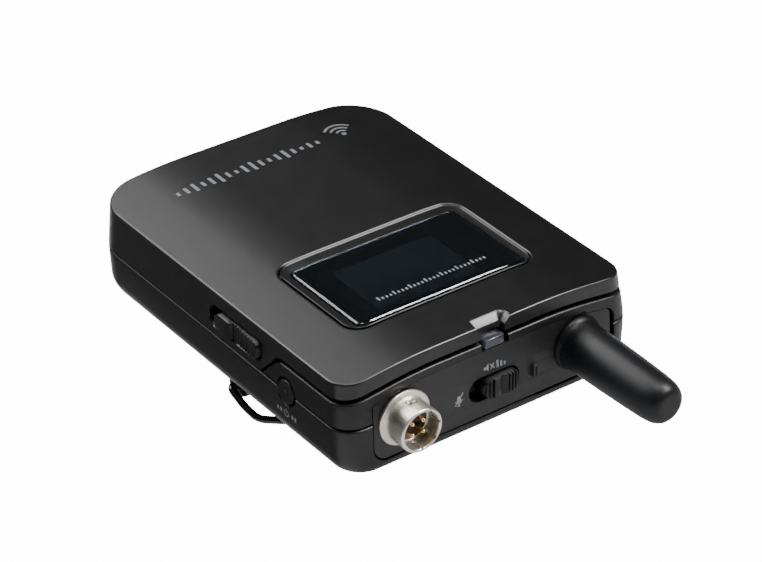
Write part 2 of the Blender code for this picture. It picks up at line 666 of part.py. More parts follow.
def rib_outline(start, tops, root):
    """Outline, seen from above, of a row of ribs with one rib for each of the tops."""
    points = []
    for k, top in enumerate(tops):
        x = start + k * MUTE_RIB_PITCH
        points += [(x, root), (x + 0.1 * MM, top), (x + 0.45 * MM, top), (x + 0.55 * MM, root)]
    return points


def make_mute_slider():
    """Slide-switch knob: two ribbed ends, a wedge between them, a plate behind the panel."""
    knob_x = (SLOT_X[0] + MUTE_TRAVEL + GAP, SLOT_X[1] - GAP)
    knob_z = (SLOT_Z[0] + 0.45 * MM, SLOT_Z[1] - 0.45 * MM)
    back_y = FRONT_Y + PANEL_DEPTH + 0.75 * MM
    slider = block("mute_slider", (knob_x[0] - 1.6 * MM, knob_x[1] + 1.6 * MM),
                   (back_y, back_y + 0.8 * MM), (SLOT_Z[0] - 0.5 * MM, SLOT_Z[1] + 0.5 * MM),
                   finish="case_black")
    face, crest = MUTE_FACE_Y, MUTE_CREST_Y
    tops = [crest + 0.45 * MM, crest + 0.25 * MM, crest + 0.05 * MM]
    middle = (knob_x[0] + knob_x[1]) / 2
    outline = [(knob_x[0] + 0.3 * MM, back_y + 0.4 * MM), (knob_x[0] + 0.3 * MM, face)]
    outline += rib_outline(middle - 4.0 * MM, tops, face + 0.2 * MM)
    outline += [(middle - 1.2 * MM, face + 0.5 * MM), (middle - 1.2 * MM, crest + 0.1 * MM),
                (middle, face + 0.1 * MM), (middle + 1.2 * MM, crest + 0.1 * MM),
                (middle + 1.2 * MM, face + 0.5 * MM)]
    outline += rib_outline(middle + 1.6 * MM, reversed(tops), face + 0.2 * MM)
    outline += [(knob_x[1] - 0.1 * MM, face + 0.3 * MM), (knob_x[1] - 0.1 * MM, back_y + 0.4 * MM)]
    knob = prism("mute_knob", outline, "Z", knob_z)
    keep_inside(knob, prism("mute_knob_ends", stadium(knob_x, knob_z), "Y",
                            (-50 * MM, back_y + 0.6 * MM)))
    unite(slider, knob)
    pin_x = middle - 0.8 * MM
    unite(slider, block("mute_fork", (pin_x, pin_x + 1.6 * MM), (back_y + 0.4 * MM, -41.5 * MM),
                        (8.4 * MM, 10.2 * MM)))
    return slider


def make_keys():
    """Three keys beside the display, under the cover."""
    profile = [(0.0, 1.4 * MM), (KEY_R - 0.3 * MM, 1.4 * MM), (KEY_R, 1.1 * MM), (KEY_R, 0.0),
               (1.2 * MM, 0.0), (1.2 * MM, -3.2 * MM), (0.0, -3.2 * MM)]
    for name, x in zip(("set_key", "up_key", "down_key"), KEY_X):
        turned(name, profile, (x, KEY_Y, DECK_Z[1] + 0.9 * MM), "Z", "switch_grey", 20)


def smooth_route(points, corner, steps=5):
    """Polyline with each inner corner replaced by a quadratic bend."""
    route = [Vector(points[0])]
    for before, at, after in zip(points, points[1:], points[2:]):
        before, at, after = Vector(before), Vector(at), Vector(after)
        reach = min(corner, (before - at).length / 2, (after - at).length / 2)
        start = at + (before - at).normalized() * reach
        end = at + (after - at).normalized() * reach
        for k in range(steps + 1):
            t = k / steps
            route.append(start * (1 - t) ** 2 + at * 2 * t * (1 - t) + end * t ** 2)
    route.append(Vector(points[-1]))
    return route


def wire(name, route, radius, finish):
    curve = bpy.data.curves.new(name, "CURVE")
    curve.dimensions = "3D"
    spline = curve.splines.new("POLY")
    spline.points.add(len(route) - 1)
    for point, place in zip(spline.points, route):
        point.co = (*place, 1.0)
    curve.bevel_depth = radius
    curve.bevel_resolution = 2
    curve.use_fill_caps = True
    curve.materials.append(material(finish))
    made = bpy.data.objects.new(name, curve)
    PARTS.objects.link(made)
    return made


def make_belt_clip():
    """Bent wire: pivots in the lugs, runs forward under the back and closes in a crossbar."""
    half = [(28.2 * MM, CLIP_PIVOT_Y, CLIP_PIVOT_Z), (CLIP_X, CLIP_PIVOT_Y, CLIP_PIVOT_Z),
            (CLIP_X, -7.0 * MM, -3.5 * MM), (31.2 * MM, -10.9 * MM, -5.0 * MM),
            (27.3 * MM, -13.7 * MM, -5.35 * MM), (17.0 * MM, -22.0 * MM, -5.35 * MM),
            (14.0 * MM, -29.5 * MM, -3.0 * MM), (13.0 * MM, -34.0 * MM, -4.2 * MM)]
    other = [(-x, y, z) for x, y, z in reversed(half)]
    return wire("belt_clip", smooth_route(half + other, 2.2 * MM), CLIP_WIRE_R, "wire_black")


# ---- connector and antenna ----------------------------------------------------------------
def make_connector():
    """Round microphone socket: shell with flange, insulator, four contacts, nut."""
    centre = (CONNECTOR_X, CONNECTOR_Z)
    tip_y = -50.6 * MM
    flange = (FRONT_Y - 1.0 * MM, FRONT_Y - 0.2 * MM)
    outer, inner = 4.68 * MM, 4.0 * MM
    profile = [(inner, tip_y), (outer - 0.2 * MM, tip_y), (outer, tip_y + 0.2 * MM),
               (outer, flange[0]), (5.83 * MM, flange[0]), (5.83 * MM, flange[1]),
               (outer, flange[1]), (outer, -40.6 * MM), (inner, -40.6 * MM), (inner, tip_y)]
    place = (CONNECTOR_X, 0.0, CONNECTOR_Z)
    shell = turned("connector_shell", list(reversed(profile)), place, "Y", "nickel", 32)
    for angle in (35, 145, 270):
        x = CONNECTOR_X + outer * cos(radians(angle))
        z = CONNECTOR_Z + outer * sin(radians(angle))
        cut(shell, block(f"connector_key_{angle}", (x - 0.7 * MM, x + 0.7 * MM),
                         (tip_y - MM, tip_y + 0.9 * MM), (z - 0.9 * MM, z + 0.9 * MM)))
    core = cylinder("connector_insulator", "Y", centre, inner - GAP, (-47.0 * MM, -41.0 * MM),
                    "insulator")
    for k in range(4):
        angle = radians(45 + 90 * k)
        spot = (CONNECTOR_X + 1.75 * MM * cos(angle), CONNECTOR_Z + 1.75 * MM * sin(angle))
        cylinder(f"connector_pin_{k + 1}", "Y", spot, 0.45 * MM, (-49.6 * MM, -40.2 * MM), "gold",
                 steps=10)
        cut(core, cylinder(f"pin_hole_{k}", "Y", spot, 0.75 * MM, (-60 * MM, -30 * MM), steps=12))
    nut_y = FRONT_Y + PANEL_DEPTH + GAP
    nut = cylinder("connector_nut", "Y", centre, 6.2 * MM, (nut_y, nut_y + 1.5 * MM), "nickel",
                   steps=6)
    cut(nut, cylinder("nut_bore", "Y", centre, outer + GAP, (-60 * MM, -30 * MM)))


def make_antenna():
    """Rubber sleeve over a coil rod that screws into a bush behind the panel."""
    base = FRONT_Y - GAP
    tip = ANTENNA_TIP_Y
    round_r = 2.4 * MM
    shoulder = 4.75 * MM
    profile = [(0.0, tip)]
    profile += [(shoulder - round_r + round_r * sin(radians(a)), tip + round_r * (1 - cos(radians(a))))
                for a in range(0, 91, 18)]
    profile += [(4.95 * MM, -58.0 * MM), (5.15 * MM, base - 2.4 * MM), (5.35 * MM, base - 1.2 * MM),
                (5.75 * MM, base - 0.5 * MM), (5.75 * MM, base), (2.3 * MM, base),
                (2.3 * MM, -66.0 * MM), (0.0, -67.0 * MM)]
    place = (ANTENNA_X, 0.0, ANTENNA_Z)
    turned("antenna_boot", list(reversed(profile)), place, "Y", "rubber_black", 32)
    rod = [(0.0, -65.8 * MM), (1.9 * MM, -65.8 * MM), (1.9 * MM, -46.5 * MM), (1.9 * MM, -39.5 * MM),
           (0.0, -39.5 * MM)]
    turned("antenna_rod", list(reversed(rod)), place, "Y", "brass", 16)
    nut_y = FRONT_Y + PANEL_DEPTH + GAP
    nut = cylinder("antenna_nut", "Y", (ANTENNA_X, ANTENNA_Z), 4.2 * MM, (nut_y, nut_y + 1.8 * MM),
                   "brass", steps=6)
    cut(nut, cylinder("antenna_nut_bore", "Y", (ANTENNA_X, ANTENNA_Z), 1.9 * MM + GAP,
                      (-60 * MM, -30 * MM), steps=16))


def make_light_lens():
    """Bent light guide that wraps over the frame's rim."""
    outline = [(-44.35 * MM, 17.6 * MM), (-44.25 * MM, 19.35 * MM), (-44.0 * MM, 19.6 * MM),
               (-40.4 * MM, 19.75 * MM), (-40.4 * MM, 18.6 * MM), (-43.1 * MM, 18.6 * MM),
               (-43.1 * MM, 17.6 * MM)]
    return prism("light_lens", outline, "X", LIGHT_X, "light_lens")


# ---- electronics and batteries ------------------------------------------------------------
def make_board():
    half = 31.8 * MM
    neck = 27.2 * MM
    outline = [(half, 2.6 * MM), (-half, 2.6 * MM), (-half, -36.0 * MM), (-neck, -36.0 * MM),
               (-neck, -41.2 * MM), (neck, -41.2 * MM), (neck, -36.0 * MM), (half, -36.0 * MM)]
    board = prism("main_board", outline, "Z", BOARD_Z, "board_green")
    for side in (-1, 1):
        place = (side * STANDOFF[0], STANDOFF[1])
        cut(board, cylinder(f"board_hole_{side}", "Z", place, 1.2 * MM, (0.0, 10 * MM), steps=16))
    low = ON_BOARD_Z
    can = block("rf_shield", (-8 * MM, 15 * MM), (-33 * MM, -19 * MM), (low, low + 2.6 * MM), "steel")
    cut(can, block("shield_inside", (-7.6 * MM, 14.6 * MM), (-32.6 * MM, -19.4 * MM),
                   (low - MM, low + 2.2 * MM)))
    block("processor_chip", (-5 * MM, 4 * MM), (-15 * MM, -6 * MM), (low, low + 1.2 * MM),
          "chip_black")
    block("crystal_can", (9 * MM, 14 * MM), (-14 * MM, -11 * MM), (low, low + 1.5 * MM), "steel")
    block("audio_chip", (-24 * MM, -18 * MM), (-30 * MM, -25 * MM), (low, low + 1.2 * MM),
          "chip_black")
    block("mute_switch_body", (-6 * MM, 8 * MM), (-41.2 * MM, -37.6 * MM), (low, 11.6 * MM),
          "switch_grey")
    cut(bpy.data.objects["mute_switch_body"],
        block("switch_groove", (-4.5 * MM, 6.5 * MM), (-43 * MM, -40.4 * MM), (8.0 * MM, 10.6 * MM)))
    block("power_switch_body", (-30.5 * MM, -27.1 * MM), (POWER_Y - 2.6 * MM, POWER_Y + 2.6 * MM),
          (low, POWER_Z + 2.2 * MM), "switch_grey")
    block("status_light", (LIGHT_X[0] + 1.2 * MM, LIGHT_X[1] - 1.2 * MM), (-40.0 * MM, -38.6 * MM),
          (DECK_Z[1] + 0.5 * MM, DECK_Z[1] + 1.7 * MM), "light_lens")


def make_display():
    low = DECK_Z[0] - 1.5 * MM
    frame = block("display_frame", (-15.2 * MM, 15.2 * MM), (-27.2 * MM, -6.8 * MM),
                  (low, 19.8 * MM), "switch_grey")
    cut(frame, block("display_recess", (-12.3 * MM, 12.3 * MM), (-25.3 * MM, -8.7 * MM),
                     (18.6 * MM, 25 * MM)))
    block("display_glass", (-12.0 * MM, 12.0 * MM), (-25.0 * MM, -9.0 * MM),
          (18.9 * MM, 19.7 * MM), "display_glass")


def make_cells():
    profile = [(0.0, -CELL_HALF_L), (CELL_R - 0.4 * MM, -CELL_HALF_L),
               (CELL_R, -CELL_HALF_L + 0.4 * MM), (CELL_R, CELL_HALF_L - 1.6 * MM),
               (CELL_R - 0.6 * MM, CELL_HALF_L - 1.0 * MM), (2.75 * MM, CELL_HALF_L - 1.0 * MM),
               (2.75 * MM, CELL_HALF_L), (0.0, CELL_HALF_L)]
    for k, y in enumerate(CELL_Y):
        place = Vector((0.0, y, CELL_Z))
        cell = turned(f"battery_{k + 1}", list(reversed(profile)), place, "X", "cell_wrap", 28)
        if k:
            cell.matrix_world = Matrix.Translation(place) @ Matrix.Rotation(pi, 4, "Z") @ \
                AXIS_TURN["X"]
    plate_z = (5.0 * MM, 15.0 * MM)
    block("contact_bridge", (26.9 * MM, 27.4 * MM), (CELL_Y[0] - 4.5 * MM, CELL_Y[1] + 4.5 * MM),
          plate_z, "nickel")
    for name, y in (("contact_negative", CELL_Y[0]), ("contact_positive", CELL_Y[1])):
        block(name, (-27.4 * MM, -26.9 * MM), (y - 4.5 * MM, y + 4.5 * MM), plate_z, "nickel")
    make_spring("battery_spring_1", CELL_Y[0], -1)
    make_spring("battery_spring_2", CELL_Y[1], 1)


def make_spring(name, y, side):
    """Flat conical spring between a contact plate and a cell's flat end."""
    turns, per_turn = 2.5, 12
    count = int(turns * per_turn)
    route = []
    for k in range(count + 1):
        share = k / count
        angle = 2 * pi * turns * share
        radius = between(4.0 * MM, 1.7 * MM, share)
        x = side * between(26.3 * MM, 25.7 * MM, share)
        route.append((x, y + radius * cos(angle), CELL_Z + radius * sin(angle)))
    wire(name, route, 0.25 * MM, "steel")


# ---- fasteners and hinge pins -------------------------------------------------------------
def make_screw(name, place, head_z, length, head_r=1.55 * MM, shank_r=0.75 * MM):
    """Pan-head screw; its head is at head_z and its shank runs up from it."""
    head = 1.1 * MM
    direction = 1 if length > 0 else -1
    profile = [(0.0, 0.0), (head_r - 0.25 * MM, 0.0), (head_r, 0.25 * MM), (head_r, head),
               (shank_r, head), (shank_r, abs(length)), (0.0, abs(length))]
    screw = turned(name, list(reversed(profile)), (*place, head_z), "Z", "steel", 16)
    if direction < 0:
        screw.matrix_world = Matrix.Translation((*place, head_z)) @ Matrix.Rotation(pi, 4, "X")
    for k, (half_x, half_y) in enumerate(((1.0, 0.22), (0.22, 1.0))):
        low, high = sorted((head_z - direction * MM, head_z + direction * 0.5 * MM))
        cut(screw, block(f"{name}_cross_{k}", (place[0] - half_x * MM, place[0] + half_x * MM),
                         (place[1] - half_y * MM, place[1] + half_y * MM), (low, high)))


def make_fasteners():
    for k, place in enumerate(boss_positions()):
        make_screw(f"case_screw_{k + 1}", place, 0.75 * MM, 11.5 * MM,
                   shank_r=0.75 * MM if k < 2 else 0.5 * MM)
    for name, side in (("board_screw_1", -1), ("board_screw_2", 1)):
        make_screw(name, (side * STANDOFF[0], STANDOFF[1]), BOARD_Z[1] + GAP + 1.1 * MM, -4.6 * MM,
                   head_r=1.8 * MM)
    for name, side in (("hinge_pin_left", -1), ("hinge_pin_right", 1)):
        cylinder(name, "X", (HINGE_Y, HINGE_Z), HINGE_PIN_R,
                 sorted((side * 9.6 * MM, side * 21.4 * MM)), "steel", steps=12)


make_back_shell()
make_mid_frame()
make_end_panel()
make_inner_deck()
make_front_cover()
make_window_bezel()
make_window_lens()
for latch_side in (-1, 1):
    make_latch(latch_side)
make_power_button()
make_mute_slider()
make_keys()
make_belt_clip()
make_connector()
make_antenna()
make_light_lens()
make_board()
make_display()
make_cells()
make_fasteners()
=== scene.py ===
"""Looks of the wireless bodypack transmitter: fine meshes, materials, light and camera."""
import bmesh
import bpy
import json
from math import cos, pi, radians, sin, sqrt
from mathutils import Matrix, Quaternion, Vector


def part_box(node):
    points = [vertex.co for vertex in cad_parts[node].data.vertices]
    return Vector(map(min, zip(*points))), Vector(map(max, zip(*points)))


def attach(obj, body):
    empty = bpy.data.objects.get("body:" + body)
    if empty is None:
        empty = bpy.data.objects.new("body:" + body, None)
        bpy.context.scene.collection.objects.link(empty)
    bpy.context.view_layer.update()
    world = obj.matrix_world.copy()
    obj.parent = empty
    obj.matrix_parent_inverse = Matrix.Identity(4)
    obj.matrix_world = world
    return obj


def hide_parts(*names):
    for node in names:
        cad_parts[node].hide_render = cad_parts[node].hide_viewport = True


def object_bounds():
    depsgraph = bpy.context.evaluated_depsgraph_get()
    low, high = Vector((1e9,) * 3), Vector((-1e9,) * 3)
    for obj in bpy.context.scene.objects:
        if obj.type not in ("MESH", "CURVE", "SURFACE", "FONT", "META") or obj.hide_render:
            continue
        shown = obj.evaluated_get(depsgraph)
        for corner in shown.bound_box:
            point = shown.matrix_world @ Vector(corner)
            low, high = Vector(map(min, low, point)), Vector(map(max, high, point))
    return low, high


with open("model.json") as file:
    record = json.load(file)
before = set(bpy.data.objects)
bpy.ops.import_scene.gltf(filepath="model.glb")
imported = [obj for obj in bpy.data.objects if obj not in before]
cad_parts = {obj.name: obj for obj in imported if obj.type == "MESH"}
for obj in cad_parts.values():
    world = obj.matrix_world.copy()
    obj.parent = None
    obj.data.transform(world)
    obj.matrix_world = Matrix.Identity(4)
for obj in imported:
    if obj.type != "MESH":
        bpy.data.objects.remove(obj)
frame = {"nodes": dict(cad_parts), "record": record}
CAD_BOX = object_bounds()

MM = 0.001
WALL = 1.6 * MM

# ---- sizes of the case, as the CAD has them -----------------------------------------------
HALF_W = 35.0 * MM
HALF_W_BACK = 34.4 * MM
HALF_W_TOP = 34.2 * MM
FRONT_Y = -44.9 * MM
FRAME_FRONT_Y = -44.0 * MM
COVER_FRONT_Y = -43.7 * MM
COVER_TOP_FRONT_Y = -43.3 * MM
REAR_Y = 43.2 * MM
PARTING_Z = 11.4 * MM
COVER_LOW_Z = 11.9 * MM
RIM_Z = 16.7 * MM
RIM_RISE = 2.0 * MM
COVER_LIP_Z = 17.7 * MM
COVER_LIP_RISE = 2.02 * MM
TOP_Z = 20.73 * MM
TOP_RISE = 1.62 * MM
CROWN_FLAT = 12.0 * MM
CROWN_BEND = 12.0 * MM
BACK_EDGE_R = 5.1 * MM
FRONT_EDGE_R = 2.4 * MM             # a little tighter than the CAD's
REAR_EDGE_R = 5.0 * MM
FRONT_CORNER_R = 5.0 * MM
REAR_CORNER_R = 9.5 * MM
HINGE_Y = REAR_Y - WALL
HINGE_Z = 13.4 * MM
HINGE = (HINGE_Y, HINGE_Z)
HINGE_R = 1.5 * MM
HINGE_BORE_R = 1.0 * MM
BEZEL_HALF_X = 22.2 * MM
BEZEL_Y = (-30.5 * MM, -3.0 * MM)
BEZEL_R = 4.0 * MM
LENS_HALF_X = 20.0 * MM
LENS_Y = (-29.3 * MM, -6.1 * MM)
LENS_R = 1.5 * MM
LATCH_SLOT_Y = (-17.9 * MM, 0.1 * MM)
LATCH_SLOT_Z = (13.5 * MM, 17.9 * MM)
POWER_Y = -26.1 * MM
POWER_Z = 11.5 * MM
POWER_R = 2.75 * MM
PANEL_X = (-28.0 * MM, 28.9 * MM)
PANEL_LOW_Z = 3.05 * MM
PANEL_TOP_Z = 14.1 * MM
PANEL_TOP_RISE = 3.0 * MM
PANEL_CORNER_R = 3.0 * MM
PANEL_BACK_Y = FRONT_Y + 1.8 * MM
SLOT_X = (-5.75 * MM, 6.35 * MM)
SLOT_Z = (6.7 * MM, 11.8 * MM)
PIP_X = (9.15 * MM, 10.4 * MM)
PIP_Z = (7.4 * MM, 10.25 * MM)
LIGHT_X = (-2.0 * MM, 3.3 * MM)
CONNECTOR = (-21.2 * MM, 10.7 * MM)
ANTENNA = (20.6 * MM, 10.7 * MM)
CLIP_PIVOT = (-2.3 * MM, -1.7 * MM)
CLIP_LUG_R = 1.8 * MM
CLIP_WIRE_R = 0.8 * MM
FRONT_SCREW = (30.2 * MM, -39.2 * MM)
FRONT_BOSS_R = 2.2 * MM
REAR_SCREW = (25.3 * MM, 38.2 * MM)
REAR_BOSS_R = 1.9 * MM
STANDOFF = (22.0 * MM, -9.0 * MM)
SCREW_HOLE_R = 1.1 * MM
WIDE = (-40 * MM, 40 * MM)          # past both sides of the case

# ---- fine edges and gaps that only the looks have -----------------------------------------
COVER_EDGE_R = 0.40 * MM
RIM_EDGE_R = 0.42 * MM
SHELL_EDGE_R = 0.42 * MM
PANEL_SINK = 0.05 * MM              # how far the end panel's face lies behind the case's
PANEL_GAP_LEFT = 0.18 * MM
PANEL_GAP_RIGHT = 1.0 * MM
PANEL_GAP_BELOW = 0.45 * MM
PANEL_GAP_ABOVE = 0.05 * MM

# ---- materials ----------------------------------------------------------------------------
def set_inputs(node, **values):
    """Sets sockets by name, with _ for a space."""
    for socket, value in values.items():
        node.inputs[socket.replace("_", " ")].default_value = value
    return node


def new_node(tree, kind, **values):
    return set_inputs(tree.nodes.new("ShaderNode" + kind), **values)


def shader_material(name, **values):
    """Principled material; every socket given here is a plain value."""
    made = bpy.data.materials.new(name)
    made.use_nodes = True
    return made, made.node_tree, set_inputs(made.node_tree.nodes["Principled BSDF"], **values)


def noise(tree, scale, detail=3.0, roughness=0.5):
    """Noise over the object's own metres; scale is in cycles per metre."""
    node = new_node(tree, "TexNoise", Scale=scale, Detail=detail, Roughness=roughness)
    tree.links.new(new_node(tree, "TexCoord").outputs["Object"], node.inputs["Vector"])
    return node.outputs["Fac"]


def spread(tree, factor, low, high, span=(0.3, 0.7)):
    """Maps a texture value onto a range of numbers."""
    node = new_node(tree, "MapRange", From_Min=span[0], From_Max=span[1], To_Min=low, To_Max=high)
    tree.links.new(factor, node.inputs["Value"])
    return node.outputs["Result"]


def tint(tree, factor, first, second):
    """Blends two colours by a texture value."""
    ramp = new_node(tree, "ValToRGB")
    for element, at, colour in zip(ramp.color_ramp.elements, (0.3, 0.7), (first, second)):
        element.position = at
        element.color = (*colour, 1.0)
    tree.links.new(factor, ramp.inputs["Fac"])
    return ramp.outputs["Color"]


def bump(tree, shader, height, distance):
    node = new_node(tree, "Bump", Strength=1.0, Distance=distance)
    tree.links.new(height, node.inputs["Height"])
    tree.links.new(node.outputs["Normal"], shader.inputs["Normal"])


def finish_shader(tree, shader, clouds, colours, gloss, roughness):
    """Colour and roughness that wander between two values each."""
    tree.links.new(tint(tree, clouds, *colours), shader.inputs["Base Color"])
    tree.links.new(spread(tree, gloss, *roughness), shader.inputs["Roughness"])


def moulded_plastic(name, colour, roughness, specular=0.5, grain=4500.0, depth=0.006 * MM, coat=0.0):
    """Plastic with fine spark-eroded grain, slight colour clouding and uneven gloss."""
    made, tree, shader = shader_material(name, Specular_IOR_Level=specular, Coat_Weight=coat,
                                         Coat_Roughness=0.08)
    finish_shader(tree, shader, noise(tree, 90.0, 4.0), (colour, [c * 1.12 for c in colour]),
                  noise(tree, 260.0, 5.0, 0.6), (roughness - 0.015, roughness + 0.015))
    bump(tree, shader, noise(tree, grain, 2.0, 0.6), depth)
    return made


def metal(name, colour, roughness):
    """Plated metal with fine machining marks and a few darker clouds."""
    made, tree, shader = shader_material(name, Metallic=1.0)
    marks = noise(tree, 2200.0, 3.0, 0.6)
    finish_shader(tree, shader, noise(tree, 420.0, 5.0, 0.65), ([c * 0.80 for c in colour], colour),
                  marks, (roughness - 0.05, roughness + 0.07))
    bump(tree, shader, marks, 0.004 * MM)
    return made


def clear_plastic(name, colour, roughness, transmission):
    made, tree, shader = shader_material(name, IOR=1.49, Transmission_Weight=transmission)
    finish_shader(tree, shader, noise(tree, 160.0), (colour, [min(1.0, c * 1.08) for c in colour]),
                  noise(tree, 700.0, 4.0), (roughness, roughness + 0.02))
    return made


def ink(name, *colour):
    """Screen-printed ink, slightly uneven in colour and gloss."""
    made, tree, shader = shader_material(name, Specular_IOR_Level=0.3)
    finish_shader(tree, shader, noise(tree, 1800.0), ([c * 0.88 for c in colour], colour),
                  noise(tree, 900.0), (0.45, 0.6))
    return made


# Colour, roughness, specular level, grain per metre, depth of the grain, clear coat.
PLASTICS = {
    "case_black": ((0.0090, 0.0090, 0.0094), 0.42, 0.40),
    "cover_black": ((0.0085, 0.0085, 0.0089), 0.32, 0.50, 4500.0, 0.005 * MM),
    "panel_grey": ((0.0275, 0.0275, 0.0295), 0.44, 0.42),
    "rubber_black": ((0.0095, 0.0100, 0.0125), 0.42, 0.26, 2600.0, 0.010 * MM),
    "switch_grey": ((0.030, 0.030, 0.032), 0.50),
    "insulator": ((0.030, 0.018, 0.010), 0.45),
    "chip_black": ((0.012, 0.012, 0.013), 0.55),
    "board_green": ((0.010, 0.075, 0.035), 0.35, 0.5, 900.0, 0.02 * MM),
    "cell_wrap": ((0.020, 0.050, 0.140), 0.28),
    "wire_black": ((0.006, 0.006, 0.006), 0.16, 0.6, 1500.0, 0.006 * MM, 0.5),
}
# Colour, roughness.
METALS = {
    "nickel": ((0.90, 0.86, 0.79), 0.34),
    "gold": ((0.90, 0.62, 0.25), 0.22),
    "brass": ((0.72, 0.52, 0.25), 0.30),
    "steel": ((0.56, 0.56, 0.57), 0.28),
}
# Colour, roughness, share of the light that passes through.
CLEARS = {
    "window_glass": ((0.10, 0.12, 0.14), 0.02, 0.92),
    "light_lens": ((0.13, 0.14, 0.19), 0.16, 0.25),
    "display_glass": ((0.40, 0.44, 0.43), 0.10, 0.0),
}
INKS = {"print_grey": (0.40, 0.43, 0.47), "print_dim": (0.22, 0.22, 0.235),
        "print_bright": (0.62, 0.68, 0.72)}
FINISHES = ((moulded_plastic, PLASTICS), (metal, METALS), (clear_plastic, CLEARS), (ink, INKS))
MATERIAL = {name: make(name, *values) for make, recipes in FINISHES
            for name, values in recipes.items()}
SLOT_OF = {part["node"]: part["material_slot"] for part in frame["record"]["subparts"]}
BODY_OF = {node: body for body, nodes in frame["record"]["behaviour"]["bodies"].items()
           for node in nodes}


def dress_cad_nodes():
    """Gives each CAD node the procedural material of its slot, and smooth shading."""
    for name, obj in frame["nodes"].items():
        obj.data.materials.clear()
        obj.data.materials.append(MATERIAL[SLOT_OF[name]])
        obj.data.shade_smooth()
        obj.data.set_sharp_from_angle(angle=radians(32))


# ---- stage --------------------------------------------------------------------------------
def add_object(name, data):
    made = bpy.data.objects.new(name, data)
    bpy.context.scene.collection.objects.link(made)
    return made


def make_camera():
    """Camera at the viewing angle: 36.4 degrees to the left of the antenna end, 32.7 up."""
    azimuth, elevation = radians(-36.4), radians(32.70)
    data = bpy.data.cameras.new("camera")
    data.sensor_width = 36.0
    data.lens = 141.2
    data.clip_start = 0.01
    camera = add_object("camera", data)
    camera.location = (-0.2943, -0.4081, 0.3325)
    camera.rotation_euler = (pi / 2 - elevation, 0.0, azimuth)
    bpy.context.scene.camera = camera


def softbox(name, direction, distance, size, radiance, turn=0.0, gloss_only=False):
    """Soft box in a direction from the object, facing it, turned about its own axis."""
    data = bpy.data.lights.new(name, "AREA")
    data.shape = "RECTANGLE"
    data.size, data.size_y = size
    data.energy = radiance * pi * size[0] * size[1]
    light = add_object(name, data)
    offset = Vector(direction).normalized() * distance
    light.location = Vector((0.0, 0.0, 0.01)) + offset
    facing = offset.to_track_quat("Z", "Y") @ Quaternion((0.0, 0.0, 1.0), radians(turn))
    light.rotation_euler = facing.to_euler()
    light.visible_diffuse = not gloss_only


def flat_card(name, x, y, z, colours, rough, glow=None):
    """Flat card of the stage; glow is its own light towards the object and the camera."""
    bm = bmesh.new()
    corners = [(x[0], y[0], z), (x[1], y[0], z), (x[1], y[1], z), (x[0], y[1], z)]
    bm.faces.new([bm.verts.new(corner) for corner in corners])
    card = mesh_object(name, bm)
    made, tree, shader = shader_material(name, Specular_IOR_Level=0.1)
    finish_shader(tree, shader, noise(tree, 3.0), colours, noise(tree, 8.0), (rough, rough + 0.03))
    if glow:
        path = new_node(tree, "LightPath")
        strength = spread(tree, path.outputs["Is Camera Ray"], glow[0], glow[1], (0.0, 1.0))
        set_inputs(shader, Emission_Color=(1.0, 1.0, 1.0, 1.0))
        tree.links.new(strength, shader.inputs["Emission Strength"])
    card.data.materials.append(made)
    return card


def make_stage():
    """White table, a dark flag beside it that only reflections show, and the soft boxes."""
    floor_z = CAD_BOX[0][2] - 0.05 * MM
    flat_card("floor", (-6.0, 6.0), (-6.0, 6.0), floor_z, ((0.90,) * 3, (0.91,) * 3), 0.9,
              glow=(0.60, 14.0))
    flag = flat_card("dark_flag", (-0.50, -0.0362), (-0.04, 0.60), floor_z + 0.5 * MM,
                     ((0.14,) * 3, (0.15,) * 3), 0.9)
    flag.visible_camera = False
    flag.visible_diffuse = False
    flag.visible_shadow = False
    flag.visible_transmission = False
    world = bpy.data.worlds.new("studio")
    world.use_nodes = True
    set_inputs(world.node_tree.nodes["Background"], Color=(1.0, 1.0, 1.0, 1.0), Strength=0.02)
    bpy.context.scene.world = world
    softbox("overhead", (-0.15, -0.1, 1.0), 1.6, (2.2, 2.2), 0.20)
    softbox("top_spot", (0.05, 0.10, 1.0), 1.2, (0.35, 0.35), 22.0, gloss_only=True)
    softbox("rear_left", (-0.12, 0.63, 0.74), 1.2, (1.0, 0.42), 11.0)
    softbox("edge_light", (0.493, -0.395, 0.775), 1.2, (0.9, 0.22), 52.0, 45.9, gloss_only=True)
    softbox("side_light", (-0.54, 0.68, 0.49), 1.2, (0.4, 0.4), 6.0, gloss_only=True)


# ---- mesh helpers -------------------------------------------------------------------------
SIDE_POINTS = 4                     # points on each straight side between two corner arcs


def in_mm(*pairs):
    """Pairs of millimetres as pairs of metres."""
    return [(a * MM, b * MM) for a, b in pairs]


def on_side_of(side, low, high):
    """Span of x on one side of the middle, from millimetres."""
    return sorted((side * low * MM, side * high * MM))


def mesh_object(name, bm, finish=None):
    bmesh.ops.recalc_face_normals(bm, faces=bm.faces)
    mesh = bpy.data.meshes.new(name)
    bm.to_mesh(mesh)
    bm.free()
    if finish:
        mesh.materials.append(MATERIAL[finish])
    return add_object(name, mesh)


def smooth(obj, angle=34):
    obj.data.shade_smooth()
    obj.data.set_sharp_from_angle(angle=radians(angle))
    return obj


def remove(obj):
    mesh = obj.data
    bpy.data.objects.remove(obj, do_unlink=True)
    bpy.data.meshes.remove(mesh)


def bake(obj):
    """Replaces an object's mesh by its evaluated mesh and drops the modifiers."""
    view = bpy.context.evaluated_depsgraph_get()
    mesh = bpy.data.meshes.new_from_object(obj.evaluated_get(view))
    obj.modifiers.clear()
    obj.data = mesh
    return obj


def combine(target, others, operation):
    for other in others:
        step = target.modifiers.new(operation.lower(), "BOOLEAN")
        step.operation = operation
        step.solver = "EXACT"
        step.object = other
    bake(target)
    for other in others:
        remove(other)
    return target


def cut(target, *others):
    return combine(target, others, "DIFFERENCE")


def unite(target, *others):
    return combine(target, others, "UNION")


